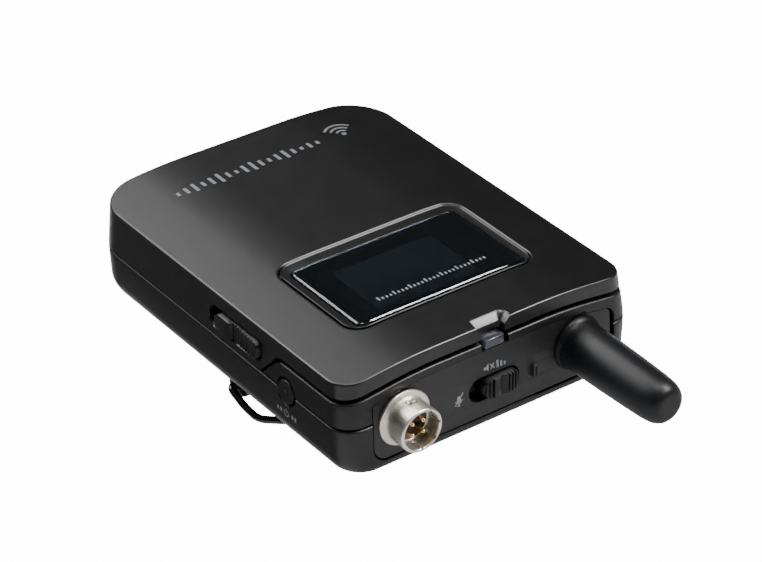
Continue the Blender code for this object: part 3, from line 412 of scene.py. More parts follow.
def keep_inside(target, *others):
    return combine(target, others, "INTERSECT")


def stand_for(piece, *nodes):
    """Fine piece in the place of CAD nodes, moving with their body."""
    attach(piece, BODY_OF[nodes[0]])
    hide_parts(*nodes)
    return piece


def soften(obj, width, segments=2, angle=35):
    """Rounds the sharp edges of a finished piece."""
    step = obj.modifiers.new("edges", "BEVEL")
    step.width = width
    step.segments = segments
    step.limit_method = "ANGLE"
    step.angle_limit = radians(angle)
    step.harden_normals = False
    return bake(obj)


def draw_in(past, radius):
    """How far a corner arc draws an edge in, this far past the arc's start."""
    if past <= 0.0:
        return 0.0
    return radius - sqrt(max(radius ** 2 - past ** 2, 0.0))


def outline(x, y, radii, mid=48, corner=14):
    """Points round a rounded rectangle: its rear edge from high to low x, the left side, the
    front edge at the same x values, the right side.  Radii: right rear, left rear, left front,
    right front."""
    right_rear, left_rear, left_front, right_front = radii
    right = max(right_rear, right_front)
    left = max(left_rear, left_front)
    turn = [1.0 - cos(pi / 2 * k / corner) for k in range(corner + 1)]
    across = [x[1] - right * t for t in turn]
    start, end = x[1] - right, x[0] + left
    across += [start + (end - start) * k / mid for k in range(1, mid)]
    across += [x[0] + left * t for t in reversed(turn)]

    def edge(at, right_r, left_r):
        return max(draw_in(at - x[1] + right_r, right_r), draw_in(x[0] + left_r - at, left_r))

    rear = [(at, y[1] - edge(at, right_rear, left_rear)) for at in across]
    front = [(at, y[0] + edge(at, right_front, left_front)) for at in reversed(across)]

    def side(first, last):
        return [(first[0] + (last[0] - first[0]) * k / (SIDE_POINTS + 1),
                 first[1] + (last[1] - first[1]) * k / (SIDE_POINTS + 1))
                for k in range(1, SIDE_POINTS + 1)]

    return rear + side(rear[-1], front[0]) + front + side(front[-1], rear[0])


def strip_cap(bm, ring):
    """Closes a ring of outline() with strips that join its two long edges."""
    count = len(ring) // 2 - SIDE_POINTS
    rear = ring[:count]
    left = ring[count:count + SIDE_POINTS]
    front = ring[count + SIDE_POINTS:2 * count + SIDE_POINTS]
    right = ring[2 * count + SIDE_POINTS:]
    bm.faces.new([rear[0], rear[1], front[-2], front[-1]] + right)
    for k in range(1, count - 2):
        bm.faces.new([rear[k], rear[k + 1], front[count - 2 - k], front[count - 1 - k]])
    bm.faces.new([rear[-2], rear[-1]] + left + [front[0], front[1]])


def flat_cap(bm, ring):
    bm.faces.new(ring)


def loft(name, rings, finish=None, cap=flat_cap):
    """Closed solid through rings with the same number of points."""
    bm = bmesh.new()
    levels = [[bm.verts.new(point) for point in ring] for ring in rings]
    for lower, upper in zip(levels, levels[1:]):
        for k in range(len(lower)):
            after = (k + 1) % len(lower)
            bm.faces.new((lower[k], lower[after], upper[after], upper[k]))
    cap(bm, levels[0])
    cap(bm, levels[-1])
    return mesh_object(name, bm, finish)


def place(axis, a, b, along):
    return {"X": (along, a, b), "Y": (a, along, b), "Z": (a, b, along)}[axis]


def prism(name, points, axis, span, finish=None):
    """Flat outline pushed along an axis; its points hold the two other coordinates in order."""
    return loft(name, [[place(axis, a, b, along) for a, b in points] for along in span], finish)


def block(name, x, y, z, finish=None):
    return prism(name, [(x[0], y[0]), (x[1], y[0]), (x[1], y[1]), (x[0], y[1])], "Z", z, finish)


def arc(centre, radius, start, end, steps):
    return [(centre[0] + radius * cos(radians(start + (end - start) * k / steps)),
             centre[1] + radius * sin(radians(start + (end - start) * k / steps)))
            for k in range(steps + 1)]


def turned(name, profile, axis, centre, finish=None, steps=72):
    """Solid of revolution from (radius, place along the axis) pairs, open or closed at its
    ends on the axis."""
    bm = bmesh.new()
    rows = []
    for radius, along in profile:
        if radius < 1e-7:
            rows.append([bm.verts.new(place(axis, centre[0], centre[1], along))])
        else:
            rows.append([bm.verts.new(place(axis, centre[0] + radius * cos(2 * pi * k / steps),
                                            centre[1] + radius * sin(2 * pi * k / steps), along))
                         for k in range(steps)])
    for first, second in zip(rows, rows[1:]):
        for k in range(steps):
            after = (k + 1) % steps
            corners = [first[k % len(first)], first[after % len(first)],
                       second[after % len(second)], second[k % len(second)]]
            unique = list(dict.fromkeys(corners))
            if len(unique) > 2:
                bm.faces.new(unique)
    return mesh_object(name, bm, finish)


def cylinder(name, axis, centre, radius, span, finish=None, steps=48):
    return turned(name, [(0.0, span[0]), (radius, span[0]), (radius, span[1]), (0.0, span[1])],
                  axis, centre, finish, steps)


def rounding(radius, steps=4):
    """Pairs (drop, inset) over a rounded edge, from the wall to the face."""
    return [(radius * (1.0 - sin(pi / 2 * k / steps)), radius * (1.0 - cos(pi / 2 * k / steps)))
            for k in range(steps + 1)]


def tube(name, route, radius, finish, sides=20):
    """Round wire along a route, with domed ends."""
    route = [Vector(p) for p in route]
    bm = bmesh.new()
    rings = []
    normal = None
    for k, at in enumerate(route):
        ahead = route[min(k + 1, len(route) - 1)] - route[max(k - 1, 0)]
        ahead.normalize()
        if normal is None:
            normal = ahead.orthogonal().normalized()
        normal = (normal - ahead * normal.dot(ahead)).normalized()
        across = ahead.cross(normal)
        scales = [(0.0, 1.0)]
        if k == 0:
            scales = [(-0.35, 0.62), (-0.2, 0.88), (0.0, 1.0)]
        if k == len(route) - 1:
            scales = [(0.0, 1.0), (0.2, 0.88), (0.35, 0.62)]
        for shift, scale in scales:
            centre = at + ahead * shift * radius
            rings.append([bm.verts.new(centre + (normal * cos(2 * pi * n / sides)
                                                 + across * sin(2 * pi * n / sides))
                                       * radius * scale) for n in range(sides)])
    for first, second in zip(rings, rings[1:]):
        for n in range(sides):
            after = (n + 1) % sides
            bm.faces.new((first[n], first[after], second[after], second[n]))
    bm.faces.new(rings[0])
    bm.faces.new(rings[-1])
    return smooth(mesh_object(name, bm, finish), 50)


# ---- form of the case ---------------------------------------------------------------------
def half_width(z):
    if z < PARTING_Z:
        return HALF_W_BACK + (HALF_W - HALF_W_BACK) * z / PARTING_Z
    return HALF_W + (HALF_W_TOP - HALF_W) * (z - PARTING_Z) / (TOP_Z - PARTING_Z)


def front_plane(z):
    """Antenna end of the case: upright low down, leaning back towards the rim."""
    lean = min(max((z - 7.0 * MM) / (RIM_Z - 7.0 * MM), 0.0), 1.0)
    return FRONT_Y + (FRAME_FRONT_Y - FRONT_Y) * lean ** 2


def crown(x, edge_z, rise):
    """Height at x of an upper face: level in the middle, bending down to straight slopes."""
    past = max(abs(x) - CROWN_FLAT, 0.0)
    fall = past ** 2 / (2.0 * CROWN_BEND) if past < CROWN_BEND else past - CROWN_BEND / 2.0
    return edge_z + rise * (1.0 - fall / (HALF_W_TOP - CROWN_FLAT - CROWN_BEND / 2.0))


def crown_normal(x):
    past = min(max(abs(x) - CROWN_FLAT, 0.0) / CROWN_BEND, 1.0)
    slope = TOP_RISE * past / (HALF_W_TOP - CROWN_FLAT - CROWN_BEND / 2.0)
    return Vector((slope if x > 0.0 else -slope, 0.0, 1.0)).normalized()


def shade_crown(obj):
    """Gives the corners that lie on the cover's crowned top its exact normals."""
    mesh = obj.data
    normals = [Vector(corner.vector) for corner in mesh.corner_normals]
    for face in mesh.polygons:
        for corner in face.loop_indices:
            at = mesh.vertices[mesh.loops[corner].vertex_index].co
            exact = crown_normal(at.x)
            on_top = abs(at.z - crown(at.x, TOP_Z, TOP_RISE)) < 0.004 * MM
            if on_top and face.normal.dot(exact) > 0.87:
                normals[corner] = exact
    mesh.normals_split_custom_set(normals)
    return obj


def edge_inset(z, radius):
    return draw_in(radius - z, radius)


def case_ring(half, front, rear, inset, height):
    """Ring round the case; height gives z at an x."""
    radii = (REAR_CORNER_R - inset, REAR_CORNER_R - inset,
             FRONT_CORNER_R - inset, FRONT_CORNER_R - inset)
    points = outline((-half + inset, half - inset), (front + inset, rear - inset), radii)
    return [(x, y, height(x)) for x, y in points]


def level_ring(z, inset=0.0):
    """Level ring round the case's outer wall."""
    return case_ring(half_width(z), front_plane(z), REAR_Y, inset, lambda x: z)


def crowned_stack(name, points_of, levels, finish=None):
    """Solid whose rings follow the top's crown; levels are (drop below the crown, inset)."""
    rings = []
    for drop, inset in levels:
        rings.append([(x, y, crown(x, TOP_Z, TOP_RISE) - drop) for x, y in points_of(inset)])
    return loft(name, rings, finish, strip_cap)


# ---- front cover and window ---------------------------------------------------------------
def window_points(half, y, radius):
    """Outline of the bezel or the lens, as a function of its inset."""
    def points(inset):
        return outline((-half + inset, half - inset), (y[0] + inset, y[1] - inset),
                       (max(radius - inset, 0.2 * MM),) * 4, 20, 8)
    return points


def make_front_cover():
    """Hinged cover: crowned top, stepped sides, window pocket, hinge lugs and latch slots."""
    rings = [case_ring(half_width(COVER_LOW_Z), COVER_FRONT_Y, REAR_Y, 0.0, lambda x: COVER_LOW_Z),
             case_ring(half_width(COVER_LIP_Z), COVER_FRONT_Y, REAR_Y, 0.0,
                       lambda x: crown(x, COVER_LIP_Z, COVER_LIP_RISE))]
    for drop, inset in rounding(COVER_EDGE_R, 5) + [(0.0, 1.2 * MM)]:
        rings.append(case_ring(HALF_W_TOP, COVER_TOP_FRONT_Y, REAR_Y, inset,
                               lambda x: crown(x, TOP_Z, TOP_RISE) - drop))
    cover = loft("fine_front_cover", rings, "cover_black", strip_cap)
    hollow = loft("hollow", [case_ring(HALF_W_TOP, COVER_TOP_FRONT_Y, REAR_Y, WALL, height)
                             for height in (lambda x: 8 * MM,
                                            lambda x: crown(x, TOP_Z - 1.8 * MM, TOP_RISE))],
                  cap=strip_cap)
    step = [(-60 * MM, 0.0), (-17.9 * MM, 0.0), (-17.9 * MM, COVER_LOW_Z + 0.2 * MM)]
    step += [(y * MM, COVER_LIP_Z - drop * MM) for y, drop in
             ((-21.05, 2.3), (-21.5, 1.7), (-21.95, 1.15), (-22.45, 0.68), (-23.0, 0.36),
              (-23.7, 0.14), (-24.4, 0.08), (-60.0, 0.08))]
    cut(cover, hollow, prism("step", step, "X", WIDE), lip_arch())
    pocket = crowned_stack("pocket", window_points(BEZEL_HALF_X, BEZEL_Y, BEZEL_R),
                           in_mm((0.9, 0.0), (0.42, 0.0), (0.20, -0.06), (0.07, -0.20),
                                 (0.0, -0.55), (-0.1, -1.2)))
    cut(cover, pocket, lens_opening(), light_notch())
    swing = block("swing", (-29 * MM, 29 * MM), (HINGE_Y, 46 * MM), (8 * MM, HINGE_Z))
    cut(swing, cylinder("round", "X", HINGE, HINGE_R + 0.1 * MM, (-30 * MM, 30 * MM)))
    cut(cover, swing)
    for side in (-1, 1):
        add_hinge_lugs(cover, side)
        cut(cover, latch_slot(side))
    stand_for(shade_crown(smooth(cover)), "front_cover")


def lip_arch(half=36 * MM, steps=60):
    """Room under the lip, arched like the middle frame's rim."""
    across = [half * (2.0 * k / steps - 1.0) for k in range(steps + 1)]
    points = [(x, crown(x, COVER_LIP_Z, COVER_LIP_RISE)) for x in reversed(across)]
    return prism("lip_arch", points + [(-half, 10 * MM), (half, 10 * MM)], "Y",
                 (-60 * MM, -24.2 * MM))


def lens_opening():
    return crowned_stack("opening", window_points(LENS_HALF_X, LENS_Y, LENS_R),
                         in_mm((4.0, -0.3), (-1.0, -0.3)))


def light_notch():
    """Notch over the status light: upright walls, then wide chamfers up to the crown."""
    rings = []
    for z, flare in in_mm((17.0, 0.0), (21.0, 0.0), (21.1, 0.06), (22.1, 1.30), (22.28, 1.60),
                          (22.36, 1.95), (24.0, 9.0)):
        x = (LIGHT_X[0] - 0.2 * MM - flare * 0.5, LIGHT_X[1] + 0.2 * MM + flare)
        rear_r = 0.4 * MM + 0.75 * min(flare, 2.0 * MM)
        points = outline(x, (-50 * MM, -41.9 * MM + flare), (rear_r, 0.3 * MM + 0.2 * flare,
                                                             0.3 * MM, 0.3 * MM), 4, 10)
        rings.append([(a, b, z) for a, b in points])
    return loft("light_notch", rings)


def latch_slot(side):
    """Slot in the side wall, its outer edge eased."""
    rings = []
    for along, grow in in_mm((30, 0.0), (34.35, 0.0), (34.55, 0.08), (34.9, 0.35), (38, 0.35)):
        points = outline((LATCH_SLOT_Y[0] - grow, LATCH_SLOT_Y[1] + grow),
                         (LATCH_SLOT_Z[0] - grow, LATCH_SLOT_Z[1] + grow),
                         (2.1 * MM + grow,) * 4, 4, 8)
        rings.append([(side * along, a, b) for a, b in points])
    return loft("latch_slot", rings)


def add_hinge_lugs(cover, side):
    """Two lugs with room for the shell's knuckle between them, bored for the pin."""
    for low, high in ((8.5, 12.0), (19.0, 22.5)):
        unite(cover, cylinder("lug", "X", HINGE, HINGE_R, on_side_of(side, low, high)))
    room = block("room", on_side_of(side, 12.0, 19.0), (HINGE_Y - 3 * MM, 46 * MM),
                 (8 * MM, HINGE_Z + 1.9 * MM))
    cut(cover, room, cylinder("lug_bore", "X", HINGE, HINGE_BORE_R, on_side_of(side, 9.3, 21.7)))


def make_window():
    """Bezel ring set in the cover and the glossy lens that stands just proud of it."""
    bezel_levels = in_mm((0.6, 0.3), (0.09, 0.3), (0.02, 0.33), (-0.02, 0.40), (-0.01, 0.48),
                         (0.04, 0.56), (0.11, 0.62), (0.135, 0.74), (0.31, 2.45))
    bezel = crowned_stack("fine_window_bezel", window_points(BEZEL_HALF_X, BEZEL_Y, BEZEL_R),
                          bezel_levels, "cover_black")
    cut(bezel, lens_opening())
    stand_for(smooth(bezel), "window_bezel")
    lens_levels = in_mm((1.3, 0.0), (0.09, 0.0), (0.03, 0.015), (0.0, 0.05), (-0.12, 0.27),
                        (-0.14, 0.32), (-0.15, 0.40), (-0.15, 1.0))
    lens = crowned_stack("fine_window_lens", window_points(LENS_HALF_X, LENS_Y, LENS_R),
                         lens_levels, "window_glass")
    stand_for(smooth(lens, 20), "window_lens")


# ---- middle frame, back shell, end panel --------------------------------------------------
def panel_ring(grow, y_of, room=0.0):
    """Ring of the end panel's outline, its top edge arched with the rim.  The opening for the
    panel has room of 1, and so the gaps round it."""
    low = PANEL_LOW_Z - grow - room * PANEL_GAP_BELOW
    high = PANEL_TOP_Z + grow + room * PANEL_GAP_ABOVE
    left = PANEL_X[0] - grow - room * PANEL_GAP_LEFT
    right = PANEL_X[1] + grow + room * PANEL_GAP_RIGHT
    low_r = PANEL_CORNER_R + grow + room * 0.3 * MM
    right_r = 0.8 * MM + grow + room * 0.7 * MM
    left_r = 0.5 * MM + grow
    points = outline((low, high), (left, right), (right_r, low_r, low_r, left_r), 24, 10)
    ring = []
    for z, x in points:
        top = high + crown(x, 0.0, PANEL_TOP_RISE)
        z = low + (z - low) * (top - low) / (high - low)
        ring.append((x, y_of(z), z))
    return ring


def panel_cutter(back_y):
    """Room for the panel, its outer edge eased."""
    levels = [(0.0, lambda z: back_y), (0.0, lambda z: front_plane(z) + 0.16 * MM),
              (0.04 * MM, lambda z: front_plane(z) + 0.05 * MM),
              (0.12 * MM, lambda z: front_plane(z)),
              (0.12 * MM, lambda z: front_plane(z) - 2 * MM)]
    return loft("panel_room", [panel_ring(grow, y_of, 1.0) for grow, y_of in levels],
                cap=strip_cap)


def power_hole():
    wall = [(POWER_R + grow * MM, along * MM) for grow, along in
            ((0.3, -30), (0.3, -34.7), (0.5, -34.98), (0.8, -40))]
    return turned("power_hole", [(0.0, -30 * MM)] + wall + [(0.0, -40 * MM)], "X",
                  (POWER_Y, POWER_Z), steps=64)


def make_mid_frame():
    """Frame whose rim shows under the cover: ramped sides, panel room, two screw posts."""
    bottom = PARTING_Z + 0.42 * MM
    rings = [level_ring(bottom, 0.15 * MM)]
    rings += [level_ring(z) for z in (bottom + 0.15 * MM, bottom + 1.5 * MM, 14.0 * MM, 15.5 * MM,
                                      16.0 * MM)]
    for drop, inset in rounding(RIM_EDGE_R) + [(0.0, 1.0 * MM)]:
        rings.append(case_ring(half_width(RIM_Z), FRAME_FRONT_Y, REAR_Y, inset,
                               lambda x: crown(x, RIM_Z, RIM_RISE) - drop))
    piece = loft("fine_mid_frame", rings, "case_black", strip_cap)
    inside = [case_ring(half_width(12 * MM), FRONT_Y + 0.1 * MM, REAR_Y, WALL + 0.2 * MM, height)
              for height in (lambda x: 8 * MM,
                             lambda x: min(crown(x, RIM_Z - 1.4 * MM, RIM_RISE), 16.6 * MM))]
    flange = [case_ring(half_width(18 * MM), FRAME_FRONT_Y, REAR_Y, 3.9 * MM, lambda x, z=z: z)
              for z in (RIM_Z - 1.8 * MM, 24 * MM)]
    ramp = [(-18.4 * MM, 8 * MM), (-18.4 * MM, PARTING_Z + 0.4 * MM)]
    ramp += [(y * MM, RIM_Z - drop * MM) for y, drop in
             ((-21.5, 1.7), (-21.95, 1.2), (-22.5, 0.72), (-23.1, 0.35), (-23.8, 0.09),
              (-24.5, 0.0))]
    ramp += [(-24.7 * MM, 24 * MM), (60 * MM, 24 * MM), (60 * MM, 8 * MM)]
    cut(piece, loft("inside", inside, cap=strip_cap), loft("flange", flange, cap=strip_cap),
        prism("ramp", ramp, "X", WIDE),
        panel_cutter(FRAME_FRONT_Y + 2.4 * MM), power_hole(),
        block("light_gap", (LIGHT_X[0] - 0.3 * MM, LIGHT_X[1] + 0.9 * MM), (-48 * MM, -39 * MM),
              (17.3 * MM, 24 * MM)))
    for side in (-1, 1):
        post = (side * FRONT_SCREW[0], FRONT_SCREW[1])
        unite(piece, cylinder("post", "Z", post, FRONT_BOSS_R, (9.0 * MM, 17.1 * MM)))
        cut(piece, cylinder("post_hole", "Z", post, SCREW_HOLE_R, (0.0, 13.5 * MM)))
    stand_for(smooth(piece), "mid_frame")


def make_back_shell():
    """Lower shell with rounded edges, hollow, with bosses, hinge knuckles and clip lugs."""
    heights = [BACK_EDGE_R * (1.0 - cos(radians(a))) for a in range(0, 91, 6)]
    rings = []
    for z in heights + [8.5 * MM, 10.2 * MM]:
        half = half_width(z) - edge_inset(z, BACK_EDGE_R)
        rings.append(case_ring(half, front_plane(z) + edge_inset(z, FRONT_EDGE_R),
                               REAR_Y - edge_inset(z, REAR_EDGE_R), 0.0, lambda x: z))
    for drop, inset in rounding(SHELL_EDGE_R, 3) + [(0.0, 0.7 * MM)]:
        rings.append(level_ring(PARTING_Z - drop, inset))
    shell = loft("fine_back_shell", rings, "case_black", strip_cap)
    inside = []
    for z in (WALL, 2.2 * MM, 3.2 * MM, 4.4 * MM, BACK_EDGE_R, 13 * MM):
        half = half_width(z) - edge_inset(z - 0.6 * MM, BACK_EDGE_R - 0.6 * MM)
        inside.append(case_ring(half, FRONT_Y + edge_inset(z - WALL, 2.0 * MM),
                                REAR_Y - edge_inset(z - WALL, 3.4 * MM), WALL, lambda x, z=z: z))
    cut(shell, loft("inside", inside, cap=strip_cap), panel_cutter(FRONT_Y + WALL + 1 * MM),
        power_hole())
    for (x, y), radius in ((FRONT_SCREW, FRONT_BOSS_R), (REAR_SCREW, REAR_BOSS_R)):
        for side in (1, -1):
            add_boss(shell, (side * x, y), radius)
    for side in (-1, 1):
        standoff = (side * STANDOFF[0], STANDOFF[1])
        unite(shell, cylinder("standoff", "Z", standoff, 1.9 * MM, (1.0 * MM, 4.3 * MM)))
        cut(shell, cylinder("standoff_hole", "Z", standoff, SCREW_HOLE_R, (2.0 * MM, 10 * MM)))
        add_knuckle(shell, side)
        add_clip_lug(shell, side)
    stand_for(smooth(shell), "back_shell")


def add_boss(shell, centre, radius):
    """Screw boss inside the shell, with a countersunk hole from below."""
    unite(shell, cylinder("boss", "Z", centre, radius, (1.0 * MM, 8.7 * MM)))
    seat = in_mm((0.0, -5), (2.6, -5), (2.1, 0.0), (1.85, 0.25), (1.85, 1.9), (1.15, 1.9),
                 (1.15, 10), (0.0, 10))
    cut(shell, turned("seat", seat, "Z", centre, steps=48))


def add_knuckle(shell, side):
    """Hinge knuckle that stands up from the shell's rear wall."""
    span = on_side_of(side, 12.3, 18.7)
    unite(shell, block("web", span, (HINGE_Y - HINGE_R, REAR_Y - 0.02 * MM),
                       (PARTING_Z - 1.5 * MM, HINGE_Z)),
          cylinder("barrel", "X", HINGE, HINGE_R, span))
    cut(shell, cylinder("barrel_bore", "X", HINGE, HINGE_BORE_R, (span[0] - MM, span[1] + MM)))


def add_clip_lug(shell, side):
    """Lug under the back for one end of the belt clip."""
    y, z = CLIP_PIVOT
    low = z - CLIP_LUG_R
    points = [(y + CLIP_LUG_R, 2.5 * MM), (-6.3 * MM, 2.5 * MM), (-6.3 * MM, low + 1.4 * MM),
              (-5.9 * MM, low + 0.8 * MM), (-5.1 * MM, low + 0.3 * MM)]
    points += arc(CLIP_PIVOT, CLIP_LUG_R, 270, 360, 14)
    span = on_side_of(side, 27.2, 31.0)
    unite(shell, soften(prism("lug", points, "X", span), 0.25 * MM))
    cut(shell, cylinder("lug_bore", "X", CLIP_PIVOT, CLIP_WIRE_R + 0.3 * MM,
                        (span[0] - MM, span[1] + MM)))


def stadium(x, z, steps, grow=0.0):
    """Outline of a slot with round ends."""
    reach = (z[1] - z[0]) / 2
    middle = (z[0] + z[1]) / 2
    return (arc((x[1] - reach, middle), reach + grow, -90, 90, steps)
            + arc((x[0] + reach, middle), reach + grow, 90, 270, steps))


def mute_slot_cutter(flare=0.25 * MM):
    """Cutter along Y through the panel, its mouth eased."""
    levels = ((0.0, lambda z: -30 * MM), (0.0, lambda z: front_plane(z) + flare),
              (0.3 * flare, lambda z: front_plane(z) + 0.3 * flare),
              (flare, lambda z: front_plane(z)), (flare, lambda z: -50 * MM))
    return loft("mute_slot", [[(x, y_of(z), z) for x, z in stadium(SLOT_X, SLOT_Z, 18, grow)]
                              for grow, y_of in levels])


def make_end_panel():
    """Panel that follows the case's front plane, with its two holes, the mute slot and a pip."""
    rings = [panel_ring(0.0, lambda z, y=y: y) for y in (PANEL_BACK_Y, FRONT_Y - 2 * MM)]
    panel = loft("fine_end_panel", rings, "panel_grey", strip_cap)
    heights = [0.0] + [z * MM for z in range(7, 20)]
    face = [(front_plane(z) + PANEL_SINK, z) for z in heights]
    cut(panel, prism("front", [(-60 * MM, 0.0)] + face + [(-60 * MM, heights[-1])], "X", WIDE))
    for centre, radius in ((CONNECTOR, 5.0 * MM), (ANTENNA, 2.9 * MM)):
        cut(panel, cylinder("hole", "Y", centre, radius, (-60 * MM, -30 * MM)))
    cut(panel, mute_slot_cutter())
    pip = []
    for y, grow in in_mm((-44.2, 0.0), (-45.62, 0.0), (-45.76, -0.04), (-45.82, -0.14),
                         (-45.83, -0.25)):
        points = outline((PIP_X[0] - grow, PIP_X[1] + grow), (PIP_Z[0] - grow, PIP_Z[1] + grow),
                         (0.5 * MM,) * 4, 2, 6)
        pip.append([(x, y, z) for x, z in points])
    unite(panel, loft("pip", pip))
    stand_for(smooth(panel), "end_panel")


# ---- latches, button, slider --------------------------------------------------------------
def make_latch(side):
    """Sliding latch: smooth rear pad, then a dip with ribs that rise towards the front."""
    node = "latch_left" if side < 0 else "latch_right"
    rear, front = -2.9 * MM, -17.6 * MM
    pad = 35.62 * MM
    profile = [(front + 0.1 * MM, 32.0 * MM), (front, 34.5 * MM)]
    ribs = 9
    pitch = 0.98 * MM
    first = front + 0.25 * MM
    for k in range(ribs):
        y = first + k * pitch
        share = 1.0 - k / (ribs - 1)
        tip = (34.98 + 0.60 * share ** 0.8) * MM
        foot = tip - 0.34 * MM
        profile += [(y, foot), (y + 0.16 * MM, tip - 0.03 * MM), (y + 0.26 * MM, tip),
                    (y + 0.38 * MM, tip - 0.03 * MM), (y + 0.54 * MM, foot),
                    (y + 0.86 * MM, foot)]
    wall_y = first + ribs * pitch + 0.05 * MM
    profile += [(wall_y, 34.7 * MM), (wall_y + 0.28 * MM, pad - 0.08 * MM),
                (wall_y + 0.45 * MM, pad), (rear - 0.4 * MM, pad)]
    profile += arc((rear - 0.4 * MM, pad - 0.35 * MM), 0.35 * MM, 90, 10, 6)
    profile += [(rear - 0.02 * MM, 33.0 * MM), (rear - 0.02 * MM, 32.0 * MM)]
    z = (LATCH_SLOT_Z[0] + 0.3 * MM, LATCH_SLOT_Z[1] - 0.3 * MM)
    knob = prism("knob", [(side * out, y) for y, out in profile], "Z", z)
    face = outline((front, rear), z, (1.85 * MM,) * 4, 6, 10)
    keep_inside(knob, prism("limits", face, "X", (side * 30 * MM, side * 40 * MM)))
    soften(knob, 0.07 * MM, 2, 40)
    across = on_side_of(side, 31.3, 32.1)
    latch = block(f"fine_{node}", across, (-19.0 * MM, -0.2 * MM), (12.6 * MM, 18.7 * MM),
                  "case_black")
    unite(latch, knob, block("tongue", across, (-20.6 * MM, -18.0 * MM), (13.2 * MM, 14.8 * MM)))
    stand_for(smooth(latch, 30), node)


def make_power_button():
    """Round cap with an eased rim, a shallow dish and a small pip in its middle."""
    profile = in_mm((0.0, -31.4), (1.0, -31.4), (1.0, -32.1), (3.3, -32.1), (3.3, -32.5),
                    (2.75, -32.5), (2.75, -33.4), (2.5, -33.4), (2.5, -34.76), (2.46, -34.90),
                    (2.36, -34.98), (2.2, -35.0), (2.0, -34.98), (1.6, -34.93), (1.0, -34.90),
                    (0.45, -34.89), (0.38, -34.93), (0.33, -35.02), (0.24, -35.10),
                    (0.12, -35.14), (0.0, -35.15))
    button = turned("fine_power_button", profile, "X", (POWER_Y, POWER_Z), "case_black", 80)
    stand_for(smooth(button, 40), "power_button")


def make_mute_slider():
    """Slide-switch knob: ribbed ends, a raised pad and a valley between them."""
    x = (SLOT_X[0] + 2.9 * MM, SLOT_X[1] - 0.3 * MM)
    z = (SLOT_Z[0] + 0.45 * MM, SLOT_Z[1] - 0.45 * MM)
    back = PANEL_BACK_Y + 0.75 * MM
    face = -45.2 * MM
    crest = -46.35 * MM
    points = [(x[0] + 0.1 * MM, back + 0.4 * MM), (x[0], face + 0.3 * MM),
              (x[0] + 0.15 * MM, face - 0.1 * MM), (x[0] + 0.35 * MM, face - 0.15 * MM)]
    for at, top in ((-2.35, 0.42), (-1.55, 0.20)):
        points += rib_profile(at * MM, crest + top * MM, face - 0.45 * MM)
    points.append((-0.72 * MM, face - 0.45 * MM))
    points += [(at * MM, crest + drop * MM) for at, drop in
               ((-0.66, 0.10), (-0.52, 0.0), (0.20, 0.0), (0.36, 0.05), (1.60, 0.75),
                (2.50, 0.06), (2.60, 0.02))]
    points.append((2.66 * MM, face - 0.35 * MM))
    for at, top in ((2.95, 0.0), (3.72, 0.04), (4.49, 0.14), (5.20, 0.40)):
        points += rib_profile(at * MM, crest + top * MM, face - 0.35 * MM)
    points += [(x[1] - 0.02 * MM, face), (x[1] - 0.1 * MM, back + 0.4 * MM)]
    knob = prism("knob", points, "Z", z)
    keep_inside(knob, prism("ends", stadium(x, z, 16), "Y", (-50 * MM, back + 0.6 * MM)))
    soften(knob, 0.06 * MM, 2, 40)
    slider = block("fine_mute_slider", (x[0] - 1.6 * MM, x[1] + 1.6 * MM),
                   (back, back + 0.8 * MM), (SLOT_Z[0] - 0.5 * MM, SLOT_Z[1] + 0.5 * MM),
                   "case_black")
    unite(slider, knob, block("fork", (0.8 * MM, 2.4 * MM), (back + 0.4 * MM, -41.5 * MM),
                              (8.4 * MM, 10.2 * MM)))
    stand_for(smooth(slider, 30), "mute_slider")


def rib_profile(x, top, foot):
    width = 0.5 * MM
    return [(x, foot), (x + 0.04 * MM, top + 0.12 * MM), (x + 0.12 * MM, top),
            (x + width - 0.12 * MM, top), (x + width - 0.04 * MM, top + 0.12 * MM),
            (x + width, foot)]


